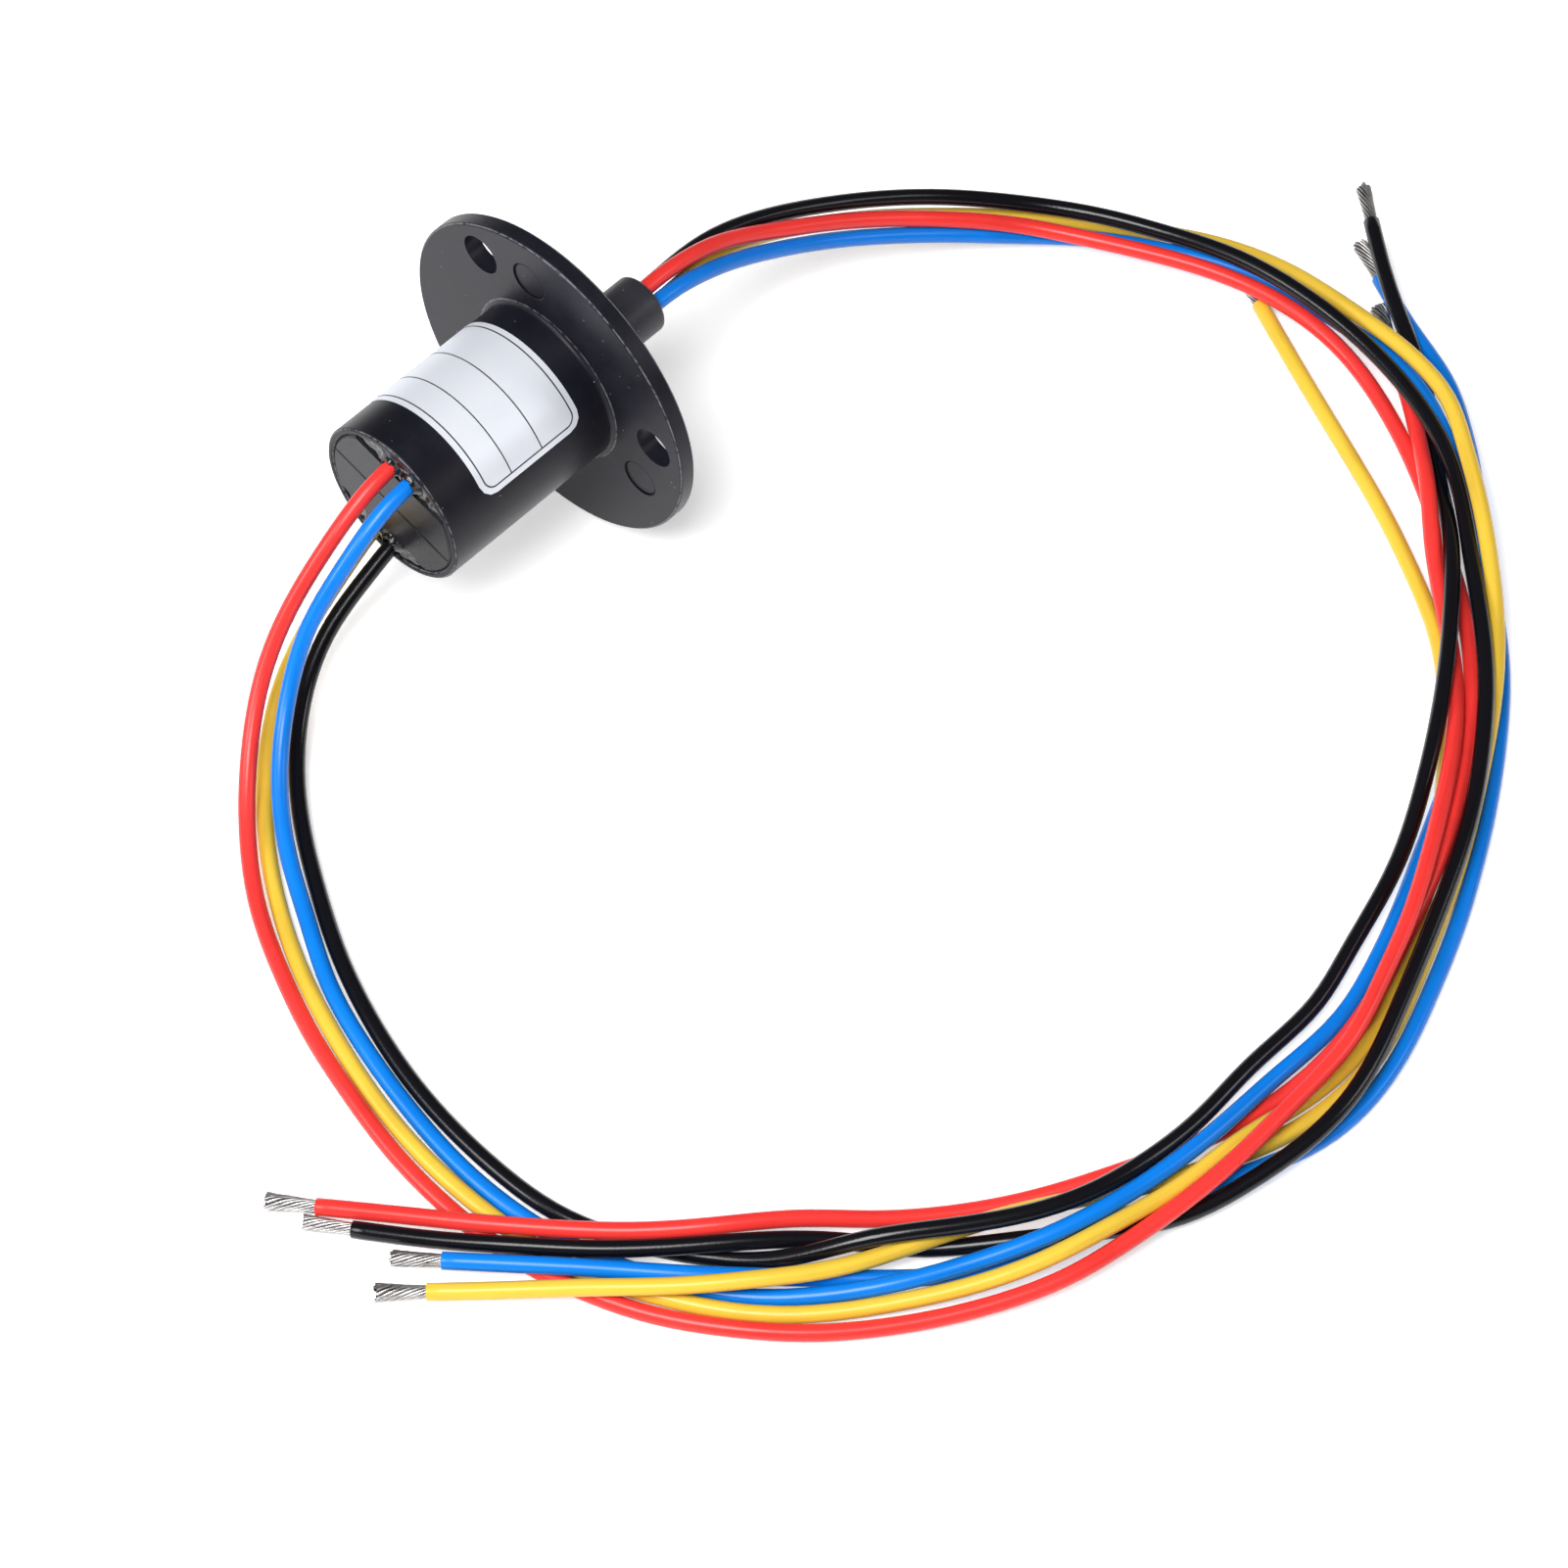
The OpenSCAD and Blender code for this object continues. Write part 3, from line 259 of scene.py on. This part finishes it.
def sleeve(name, line, sides=16):
    """A closed tube whose far end is a cut face with the strands' hole sunk in it."""
    heading, sideways, up = directions(line)
    turn = np.linspace(0, 2 * math.pi, sides, endpoint=False)
    last = len(line) - 1
    # Each ring is a place on the line, a shift along it, and a share of the lead's radius.
    start_ring = [(0, 0.0, 0.6)]
    cut_rings = [(last, -0.00006, 1.0), (last, 0.0, 0.95), (last, 0.0, 0.76),
                 (last, -0.0006, 0.74)]
    rings = start_ring + [(i, 0.0, 1.0) for i in range(last)] + cut_rings
    points, along, around = [], [], []
    travelled = np.concatenate([[0], np.cumsum(np.linalg.norm(np.diff(line, axis=0), axis=1))])
    for i, shift, share in rings:
        centre = line[i] + heading[i] * shift
        for a in turn:
            outwards = sideways[i] * math.cos(a) + up[i] * math.sin(a)
            points.append(centre + lead_r * share * outwards)
            along.append(travelled[i] + shift)
            around.append(a / (2 * math.pi))
    faces = []
    for r in range(len(rings) - 1):
        for k in range(sides):
            a, b = r * sides + k, r * sides + (k + 1) % sides
            faces.append((a, b, b + sides, a + sides))
    faces.append(tuple(reversed(range(sides))))
    faces.append(tuple(range((len(rings) - 1) * sides, len(rings) * sides)))
    mesh = bpy.data.meshes.new(name)
    mesh.from_pydata([tuple(p) for p in points], [], faces)
    for key, values in (("along", along), ("around", around)):
        mesh.attributes.new(key, "FLOAT", "POINT").data.foreach_set("value", values)
    tube = bpy.data.objects.new(name, mesh)
    bpy.context.scene.collection.objects.link(tube)
    select_only(tube)
    bpy.ops.object.shade_smooth_by_angle(angle=math.radians(50))
    return tube


sleeves = {name: sleeve("sleeve_" + name, line) for name, line in lines.items()}
print("Sleeves:", len(sleeves), "with", len(sleeves["stator_red"].data.polygons), "faces each")

# %% [markdown]
# ## Stripped ends
# Under the sleeve are nineteen tinned copper strands, twisted together: one in the middle, six
# round it and twelve outside. Stripping loosens them, so they open a little towards the cut.
# Every strand is a small circle that is extruded step by step, and each step is turned about the
# bundle's middle, which makes the helix. Its starting turn puts the strand in its place.

# %% One twisted strand
bare_length = 0.006
root_depth = 0.0005
strand_r = 0.00016
strand_sides = 7
layers = ((1, 0.00001), (6, 0.00031), (12, 0.0006))
steps = 10
lay_turn = math.radians(190)


def strand(radius, start_turn, length, opening):
    """A strand that winds at this radius about Z, and opens outwards by a share at its end."""
    bpy.ops.mesh.primitive_circle_add(vertices=strand_sides, radius=strand_r, fill_type="NGON",
                                      location=(radius, 0, -root_depth))
    obj = bpy.context.object
    bpy.ops.object.transform_apply(location=True, rotation=True, scale=True)
    bpy.ops.object.mode_set(mode="EDIT")
    bpy.ops.mesh.select_all(action="SELECT")
    grow = 1 + opening / steps
    for step in range(steps):
        bpy.ops.mesh.extrude_region_move(
            TRANSFORM_OT_translate={"value": (0, 0, (length + root_depth) / steps)})
        bpy.ops.transform.rotate(value=lay_turn * length / bare_length / steps, orient_axis="Z",
                                 center_override=(0, 0, 0))
        bpy.ops.transform.resize(value=(grow, grow, 1), center_override=(0, 0, 0))
    bpy.ops.mesh.select_all(action="SELECT")
    bpy.ops.mesh.normals_make_consistent(inside=False)
    bpy.ops.transform.rotate(value=start_turn, orient_axis="Z", center_override=(0, 0, 0))
    bpy.ops.object.mode_set(mode="OBJECT")
    return obj


# %% Bundles of strands on the eight ends
def mark_strands(mesh, opening):
    """Stores how far out each point is, and which faces are the cut tips."""
    co = np.zeros(len(mesh.vertices) * 3)
    mesh.vertices.foreach_get("co", co)
    co = co.reshape(-1, 3)
    spread = (1 + opening / steps) ** (steps * (co[:, 2] + root_depth) / bare_length)
    outward = np.hypot(co[:, 0], co[:, 1]) / spread / (layers[-1][1] + strand_r)
    mesh.attributes.new("outward", "FLOAT", "POINT").data.foreach_set("value", outward)
    cut = [float(f.normal.z > 0.8 and len(f.vertices) == strand_sides) for f in mesh.polygons]
    mesh.attributes.new("cut", "FLOAT", "FACE").data.foreach_set("value", cut)


def bundle(name, seed, opening):
    """Nineteen strands joined into one piece that stands on the origin along Z."""
    random = np.random.default_rng(seed)
    parts = []
    for count, radius in layers:
        for k in range(count):
            length = bare_length - 0.0005 * random.random()
            turn = 2 * math.pi * (k + 0.12 * random.random()) / count
            parts.append(strand(radius, turn, length, opening * (0.9 + 0.2 * random.random())))
    bpy.ops.object.select_all(action="DESELECT")
    for part in parts:
        part.select_set(True)
    bpy.context.view_layer.objects.active = parts[0]
    bpy.ops.object.join()
    piece = bpy.context.object
    piece.name = name
    select_only(piece)
    bpy.ops.object.shade_smooth_by_angle(angle=math.radians(60))
    mark_strands(piece.data, opening)
    return piece


def stand_on(piece, point, direction):
    """Moves a piece from the origin's Z to a point and direction, and applies it to the mesh."""
    turn = Vector((0, 0, 1)).rotation_difference(Vector(direction))
    piece.data.transform(Matrix.Translation(Vector(point)) @ turn.to_matrix().to_4x4())
    piece.data.update()


ends = {}
for seed, (name, line) in enumerate(lines.items()):
    piece = bundle("strands_" + name, seed, 0.3 if seed % 2 else 0.45)
    heading = directions(line)[0][-1]
    stand_on(piece, line[-1], heading)
    ends[name] = piece
print("Stripped ends:", len(ends), "with", len(ends["stator_red"].data.polygons), "faces each")

# %% [markdown]
# ## What the leads ride on
# The fixed leads ride on the stator. A turning lead leaves the neck, which turns, and lies on the
# table, which doesn't; its sleeve stays where it lies, with its place applied to the mesh. All
# stripped ends ride on the stator, and the CAD leads and ends that they replace are hidden.

for name, tube in sleeves.items():
    side, shade = name.split("_")
    lead_node, end_node = f"{side}_lead_{shade}", f"{side}_end_{shade}"
    if side == "stator":
        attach(tube, "stator")
    else:
        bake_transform(tube)
    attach(ends[name], "stator")
    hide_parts(lead_node)
    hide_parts(end_node)
    shade + "_insulation"
print("Leads declared:", len(sleeves))

# %% [markdown]
# ## A short way to write materials
# A shader's maths is easier to read as maths. `Value` wraps one socket and turns Python's operators
# into Math nodes, and `Finish` starts a material and adds any other node with its settings and
# inputs in one call.

# %% Values and finishes
class Value:
    """A socket whose operators add Math nodes to its material."""

    def __init__(self, finish, socket):
        self.finish, self.socket = finish, socket

    def maths(self, operation, *others):
        return self.finish.add("Math", {i: v for i, v in enumerate((self,) + others)},
                               operation=operation)

    def __add__(self, other): return self.maths("ADD", other)
    def __radd__(self, other): return self.maths("ADD", other)
    def __sub__(self, other): return self.maths("SUBTRACT", other)
    def __rsub__(self, other): return (self * -1) + other
    def __mul__(self, other): return self.maths("MULTIPLY", other)
    def __rmul__(self, other): return self.maths("MULTIPLY", other)
    def __pow__(self, other): return self.maths("POWER", other)
    def __abs__(self): return self.maths("ABSOLUTE")
    def __lt__(self, other): return self.maths("LESS_THAN", other)

    def most(self, other): return self.maths("MAXIMUM", other)

    def steps(self, low, high):
        """0 below low, 1 above high, smooth between."""
        return self.finish.add("MapRange", {"Value": self, "From Min": low, "From Max": high},
                               interpolation_type="SMOOTHSTEP")


class Finish:
    """A material with one Principled shader, and a method that adds nodes."""

    def __init__(self, name, **constants):
        self.material = bpy.data.materials.new(name)
        self.material.use_nodes = True
        self.tree = self.material.node_tree
        self.shader = self.tree.nodes["Principled BSDF"]
        for key, value in constants.items():
            self.shader.inputs[key.replace("_", " ")].default_value = value

    def add(self, kind, inputs=None, output=0, **settings):
        """Adds a node with these settings and inputs, and gives back one of its outputs."""
        node = self.tree.nodes.new("ShaderNode" + kind)
        for key, value in settings.items():
            setattr(node, key, value)
        for key, value in (inputs or {}).items():
            if isinstance(value, Value):
                self.tree.links.new(value.socket, node.inputs[key])
            else:
                node.inputs[key].default_value = value
        return Value(self, node.outputs[output])

    def mix(self, a, b, factor):
        """Colour a where factor is 0 and b where it is 1."""
        pad = lambda c: c if isinstance(c, Value) else (*c, 1)
        return self.add("Mix", {0: factor, 6: pad(a), 7: pad(b)}, output=2, data_type="RGBA")

    def place(self):
        """Each point's position in metres."""
        return self.add("TexCoord", output="Object")

    def parts(self, vector):
        """The three numbers of a vector."""
        node = self.tree.nodes.new("ShaderNodeSeparateXYZ")
        self.tree.links.new(vector.socket, node.inputs[0])
        return [Value(self, s) for s in node.outputs]

    def noise(self, size, detail=2, vector=None, rough=0.5):
        """Noise with features of about this size in metres."""
        vector = vector or self.place()
        return self.add("TexNoise", {"Vector": vector, "Scale": 1 / size, "Detail": detail,
                                     "Roughness": rough})

    def feed(self, key, value):
        """Lets a value drive one of the shader's inputs."""
        self.tree.links.new(value.socket, self.shader.inputs[key])
        return self

    def bump(self, height, metres, previous=None):
        """Feeds the normal with a height from 0 to 1 that stands for this depth in metres."""
        inputs = {"Height": height, "Distance": metres, "Strength": 1}
        if previous:
            inputs["Normal"] = previous
        normal = self.add("Bump", inputs)
        self.feed("Normal", normal)
        return normal


def coat(targets, finish):
    """Puts a finish on CAD nodes or pieces."""
    for target in targets:
        obj = nodes[target] if isinstance(target, str) else target
        obj.data.materials.clear()
        obj.data.materials.append(finish.material)
        for face in obj.data.polygons:
            face.material_index = 0


print("Shader helpers ready")

# %% [markdown]
# ## Insulation finish
# The coloured plastic has an even colour and a soft gloss. What shows close up is a slight change
# of shade along the lead and pull marks that run lengthwise. The marks use the two
# attributes that were stored on the sleeve.

# %% Insulation materials
shades = {"red": (0.86, 0.04, 0.035), "blue": (0.002, 0.19, 0.72),
          "yellow": (0.78, 0.51, 0.05), "black": (0.004, 0.004, 0.006)}


def insulation(shade):
    colour = shades[shade]
    f = Finish("insulation_" + shade, Specular_IOR_Level=0.3)
    along = f.add("Attribute", output="Fac", attribute_name="along")
    around = f.add("Attribute", output="Fac", attribute_name="around")
    lengthwise = f.add("CombineXYZ", {"X": along * 40, "Y": around * 9, "Z": 0.0})
    pull = f.add("TexNoise", {"Vector": lengthwise, "Scale": 1.0, "Detail": 3})
    patch = f.noise(0.012, 3)
    darker = tuple(0.78 * c for c in colour)
    f.feed("Base Color", f.mix(darker, colour, (patch * 0.6 + pull * 0.5).steps(0.3, 0.62)))
    f.feed("Roughness", (0.12 if shade == "black" else 0.2) + 0.14 * pull + 0.06 * patch)
    f.bump(pull * 0.7 + f.noise(0.0004, 2) * 0.3, 0.00003)
    return f


insulations = {shade: insulation(shade) for shade in shades}
for name, tube in sleeves.items():
    coat([tube], insulations[name.split("_")[1]])
for shade in shades:
    coat(["rotor_tail_" + shade], insulations[shade])
print("Insulation in", ", ".join(shades))

# %% [markdown]
# ## Tinned copper and other metals
# The strands are tinned, so they are silver-grey with a soft shine, a little duller in places, with
# painted shade in the gaps between them, and copper where they are cut.
# Contact rings and brush wires are plated with gold, races and balls are ground steel.

# %% Metal materials
def metal(name, colour, roughness, dull, scratch=0.0004, strands=False):
    f = Finish(name, Metallic=1.0)
    cloud = f.noise(0.0018, 3)
    fine = f.noise(scratch, 2)
    surface = f.mix(dull, colour, (cloud * 0.7 + fine * 0.3).steps(0.3, 0.65))
    if strands:
        outward = f.add("Attribute", output="Fac", attribute_name="outward")
        cut = f.add("Attribute", output="Fac", attribute_name="cut")
        # Painted shade: the strands turn nearly black towards the bundle's middle, in the gaps
        # between them.
        surface = f.mix((0.05, 0.045, 0.04), surface, outward.steps(0.78, 0.92))
        surface = f.mix(surface, (0.72, 0.42, 0.3), cut * 0.8)
    f.feed("Base Color", surface)
    f.feed("Roughness", roughness + 0.18 * (fine - 0.5) + 0.15 * (cloud - 0.5))
    f.bump(fine, 0.00001)
    return f


tin = metal("tinned_copper", (0.58, 0.57, 0.56), 0.32, (0.38, 0.36, 0.35), strands=True)
gold = metal("contact_gold", (0.95, 0.68, 0.28), 0.16, (0.78, 0.5, 0.18))
bearing = metal("bearing_steel", (0.72, 0.73, 0.75), 0.14, (0.5, 0.5, 0.52))
spring = metal("spring_steel", (0.42, 0.42, 0.44), 0.32, (0.26, 0.26, 0.28))
copper = metal("bare_copper", (0.85, 0.45, 0.27), 0.3, (0.6, 0.28, 0.15))
coat(list(ends.values()), tin)
coat([f"contact_ring_{i}" for i in range(1, 5)] + [f"brush_set_{i}" for i in range(1, 5)], gold)
coat([n for n in nodes if "bearing" in n and not n.endswith("cage")], bearing)
coat(["rear_spacer", "circlip"], spring)
coat(["stator_conductors", "rotor_conductors"], copper)
print("Metals on", sum(1 for o in nodes.values() if o.data.materials), "nodes")

# %% [markdown]
# ## Black mouldings
# The housing, the brush holder and the shaft are glass-filled plastic. It is nearly black with a
# faint cool grey, satin rather than glossy, and has the fine grain of the tool, flow clouding and a
# few bright specks where fibres reach the surface. The sharp edges get a painted highlight, a thin
# pale line broken up by noise, and the ejector pins leave a fine outline round each of their marks.

# %% Moulded plastic
grain_size = 0.00006 * 3


def moulding(name, colour, roughness, level=0.4, specks=True, highlit_edges=(), marks=()):
    """Moulded plastic, with a painted highlight on edges at (x, radius) and ejector marks round (y,
    z).
    """
    f = Finish(name, Specular_IOR_Level=level)
    cloud = f.noise(0.006, 4)
    fine = f.noise(grain_size, 3)
    paler = tuple(1.9 * c for c in colour)
    body = f.mix(colour, paler, (cloud * 0.7 + fine * 0.3).steps(0.38, 0.7))
    shine = roughness + 0.1 * (cloud - 0.5) + 0.12 * (fine - 0.5)
    if specks:
        dots = f.add("TexVoronoi", {"Vector": f.place(), "Scale": 1 / 0.0013}, output="Distance")
        where = f.noise(0.004, 1).steps(0.5, 0.62)
        body = f.mix(body, (0.4, 0.4, 0.42), (dots < 0.055) * where)
    if highlit_edges or marks:
        x, y, z = f.parts(f.place())
    if highlit_edges:
        r = (y * y + z * z) ** 0.5
        # Painted highlight: a thin pale line along each listed edge, broken up by noise.
        highlight_breaks = f.noise(0.0007, 2).steps(0.3, 0.6)
        for edge_x, edge_r in highlit_edges:
            away = ((x - edge_x) ** 2 + (r - edge_r) ** 2) ** 0.5
            body = f.mix(body, (0.14, 0.14, 0.15), (1 - away.steps(0.00006, 0.00016)) * highlight_breaks)
    relief = f.bump(fine, 0.000012)
    if marks:
        outline = 0 * cloud
        for mark_y, mark_z in marks:
            away = ((y - mark_y) ** 2 + (z - mark_z) ** 2) ** 0.5
            outline = outline.most(1 - abs(away - mark_r).steps(0.00005, 0.00016))
        outline = outline * (abs(x) < 0.0003)
        body = f.mix(body, (0.001, 0.001, 0.0015), outline)
        shine = shine + 0.4 * outline
        f.bump(1 - outline, 0.00007, previous=relief)
    f.feed("Base Color", body)
    f.feed("Roughness", shine)
    return f


flange_r, flange_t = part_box("housing")[1].z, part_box("housing")[1].x
edge = 0.0001
# Edges that get the painted highlight: both flange rims, the barrel's root and two rims at its end.
housing_highlit_edges = [(edge, flange_r - edge), (flange_t - edge, flange_r - edge), (0, 0.0116),
                 (barrel_end + edge, 0.0109), (barrel_end + edge, 0.0101)]
mark_r, mark_circle_r = 0.0025, 0.0165
mark_places = [turned(mark_circle_r, 0, degrees) for degrees in (81, 201, 321)]
housing_black = moulding("housing_moulding", (0.0065, 0.0065, 0.0105), 0.37, level=0.19,
                         highlit_edges=housing_highlit_edges, marks=mark_places)
holder_black = moulding("holder_moulding", (0.009, 0.009, 0.0115), 0.3, level=0.22)
shaft_black = moulding("shaft_moulding", (0.022, 0.022, 0.028), 0.42, level=0.35)
ivory = moulding("insulator", (0.62, 0.58, 0.46), 0.4, specks=False)
nylon = moulding("cage_nylon", (0.6, 0.56, 0.44), 0.45, specks=False)
coat(["housing"], housing_black)
coat(["brush_holder_upper", "brush_holder_lower"], holder_black)
coat(["rotor_shaft"], shaft_black)
coat(["insulating_barriers"], ivory)
coat(["front_bearing_cage", "rear_bearing_cage"], nylon)
print("Mouldings done")

# %% [markdown]
# ## Potting resin
# Black resin is poured round the leads where they leave the cap. It sets glossy and uneven, creeps
# up the leads and leaves small blisters. A copy of the plain solid is remeshed finely, and its
# points are moved: up near a lead, and in and out with a cloud texture.

# %% Lumpy resin in the two channels
def lumps(name, node, holes):
    """A remeshed copy of a CAD node, with menisci round the holes and an uneven surface."""
    source = nodes[node]
    piece = source.copy()
    piece.data = source.data.copy()
    piece.name = name
    for key in list(piece.keys()):
        del piece[key]
    piece.parent = None
    bpy.context.scene.collection.objects.link(piece)
    select_only(piece)
    bpy.ops.object.mode_set(mode="EDIT")
    bpy.ops.mesh.select_all(action="SELECT")
    bpy.ops.mesh.remove_doubles(threshold=1e-6)
    bpy.ops.object.mode_set(mode="OBJECT")
    remesh = piece.modifiers.new("even", "REMESH")
    remesh.mode = "VOXEL"
    remesh.voxel_size = 0.00016
    bpy.ops.object.modifier_apply(modifier=remesh.name)
    texture = bpy.data.textures.new(name, "CLOUDS")
    texture.noise_scale = 0.0011
    texture.noise_depth = 1
    push = piece.modifiers.new("uneven", "DISPLACE")
    push.texture = texture
    push.strength = 0.00035
    push.mid_level = 0.5
    bpy.ops.object.modifier_apply(modifier=push.name)
    surface = piece.data
    co = np.zeros(len(surface.vertices) * 3)
    surface.vertices.foreach_get("co", co)
    co = co.reshape(-1, 3)
    outer = np.clip((-co[:, 0] + barrel_end + 0.0012) / 0.0008, 0, 1)
    creep, reach = 0.0009, 0.00035
    for place in holes:
        y, z = turned(*place, cap_turn)
        away = np.hypot(co[:, 1] - y, co[:, 2] - z) - lead_r
        co[:, 0] -= outer * creep * np.exp(-np.clip(away, 0, None) / reach)
    surface.vertices.foreach_set("co", co.ravel())
    surface.update()
    bpy.ops.object.shade_smooth()
    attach(piece, "stator")
    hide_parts(node)
    return piece


resin = Finish("potting_resin", Specular_IOR_Level=0.35, Coat_Weight=0.35, Coat_Roughness=0.05)
resin.feed("Base Color", resin.mix((0.005, 0.005, 0.006), (0.014, 0.014, 0.016),
                                   resin.noise(0.002, 3).steps(0.35, 0.7)))
resin.feed("Roughness", 0.08 + 0.2 * resin.noise(0.0012, 3))
resin.bump(resin.noise(0.0005, 2), 0.00006)
upper = lumps("resin_upper", "side_potting_upper", [cap_places["red"], cap_places["blue"]])
lower = lumps("resin_lower", "side_potting_lower", [cap_places["yellow"], cap_places["black"]])
coat([upper, lower, "neck_potting"], resin)
print("Resin pieces:", len(upper.data.polygons), len(lower.data.polygons), "faces")

# %% [markdown]
# ## Label
# The label is silver-white foil, printed with a thin black frame, rounded at the corners, and two
# lines that divide it in three rows. The rows are left empty. The print is worked out in the
# material: the distance round the barrel and the distance along it make a flat map, and a line is
# where the distance to the frame is small.

# %% Printed foil
foil = Finish("label_foil", Specular_IOR_Level=0.35)
barrel_r = 0.011
label_turns = (27.5, 157.5)
label_front_x, label_length = -0.0042, 0.0163
x, y, z = foil.parts(foil.place())
angle = foil.add("Math", {0: z, 1: y}, operation="ARCTAN2")
middle_turn = math.radians((label_turns[0] + label_turns[1]) / 2)
half_round = math.radians((label_turns[1] - label_turns[0]) / 2) * barrel_r
middle_x, half_x = label_front_x - label_length / 2, label_length / 2
round_way = (angle - middle_turn) * barrel_r
length_way = x - middle_x
margin, corner, line_w = 0.00085, 0.0014, 0.0001


def frame_distance(u, v, half_u, half_v, r):
    """Distance from the edge of a rounded rectangle, less than zero inside it."""
    du = (abs(u) - (half_u - r)).most(0.0)
    dv = (abs(v) - (half_v - r)).most(0.0)
    return (du * du + dv * dv) ** 0.5 - r


def printed(away, sharp, soft):
    """1 on a line, 0 off it, and soft between these shares of its half width."""
    return 1 - abs(away).steps(line_w * sharp, line_w * soft)


edge_way = frame_distance(round_way, length_way, half_round - margin, half_x - margin, corner)
frame_line = printed(edge_way, 0.7, 1.3)
rows = printed(x + 0.0107, 0.6, 1.2).most(printed(x + 0.0158, 0.6, 1.2))
inside_frame = 1 - edge_way.steps(-0.00005, 0.00005)
ink = frame_line.most(rows * inside_frame)
grain = foil.noise(0.0006, 3)
silver = foil.mix((0.74, 0.77, 0.85), (0.86, 0.88, 0.93), foil.noise(0.012, 2))
foil.feed("Base Color", foil.mix(silver, (0.02, 0.02, 0.02), ink))
foil.feed("Metallic", 0.35 * (1 - ink))
foil.feed("Roughness", 0.42 + 0.12 * grain + 0.1 * ink)
foil.bump(grain * 0.3 + ink * 0.3, 0.00001)
coat(["label"], foil)
print("Label", round(2000 * half_round, 1), "x", round(2000 * half_x, 1), "mm")

# %% [markdown]
# ## Table and light
# The object lies on a plain white table in soft studio light. The floor's colour alone would not be
# quite white in the picture, so a camera ray, and a reflection, see the floor a little brighter
# than the light on it makes it, and its shadows stay. Three square lamps light the object. The
# strongest one hangs over the barrel's end and to the side, where the top of the barrel doesn't
# mirror it, so the barrel stays dark. The flange's face mirrors the table and comes out paler.

# %% Floor
bpy.ops.object.select_all(action="DESELECT")
bpy.ops.mesh.primitive_plane_add(size=6, location=(0, 0, table_z - 0.00002))
floor = bpy.context.object
floor.name = "floor"
select_only(floor)
bpy.ops.object.transform_apply(location=True, rotation=True, scale=True)
white = Finish("white_table", Roughness=0.9)
white.feed("Base Color", white.mix((0.86, 0.86, 0.87), (0.88, 0.88, 0.89), white.noise(0.05, 2)))
white.feed("Roughness", 0.85 + 0.1 * white.noise(0.01, 2))
seen = white.add("LightPath", output="Is Camera Ray").most(
    white.add("LightPath", output="Is Glossy Ray").most(
        white.add("LightPath", output="Is Transmission Ray")))
glow = white.add("Emission", {"Color": (1, 1, 1, 1), "Strength": 0.45})
both = white.add("AddShader", {0: Value(white, white.shader.outputs[0]), 1: glow})
out = white.tree.nodes["Material Output"]
chosen = white.add("MixShader", {0: seen, 1: Value(white, white.shader.outputs[0]), 2: both})
white.tree.links.new(chosen.socket, out.inputs["Surface"])
floor.data.materials.append(white.material)
print("Floor at", round(table_z, 5))

# %% Lamps and world
def lamp(name, place, aim, size, watts):
    data = bpy.data.lights.new(name, "AREA")
    data.shape = "SQUARE"
    data.size = size
    data.energy = watts
    obj = bpy.data.objects.new(name, data)
    obj.location = place
    obj.rotation_euler = (Vector(aim) - Vector(place)).to_track_quat("-Z", "Y").to_euler()
    bpy.context.scene.collection.objects.link(obj)


lamp("overhead_softbox", (-0.55, -0.25, 1.05), (0, -0.05, 0), 0.5, 15.5)
lamp("left_softbox", (-0.9, 0.4, 0.6), (0, -0.05, 0), 0.45, 7)
lamp("right_softbox", (0.75, -0.85, 0.65), (0, -0.05, 0), 0.4, 2.5)
world = bpy.data.worlds.new("studio")
world.use_nodes = True
world.node_tree.nodes["Background"].inputs["Color"].default_value = (1, 1, 1, 1)
world.node_tree.nodes["Background"].inputs["Strength"].default_value = 0.12
bpy.context.scene.world = world
bpy.context.scene.view_settings.view_transform = "Standard"
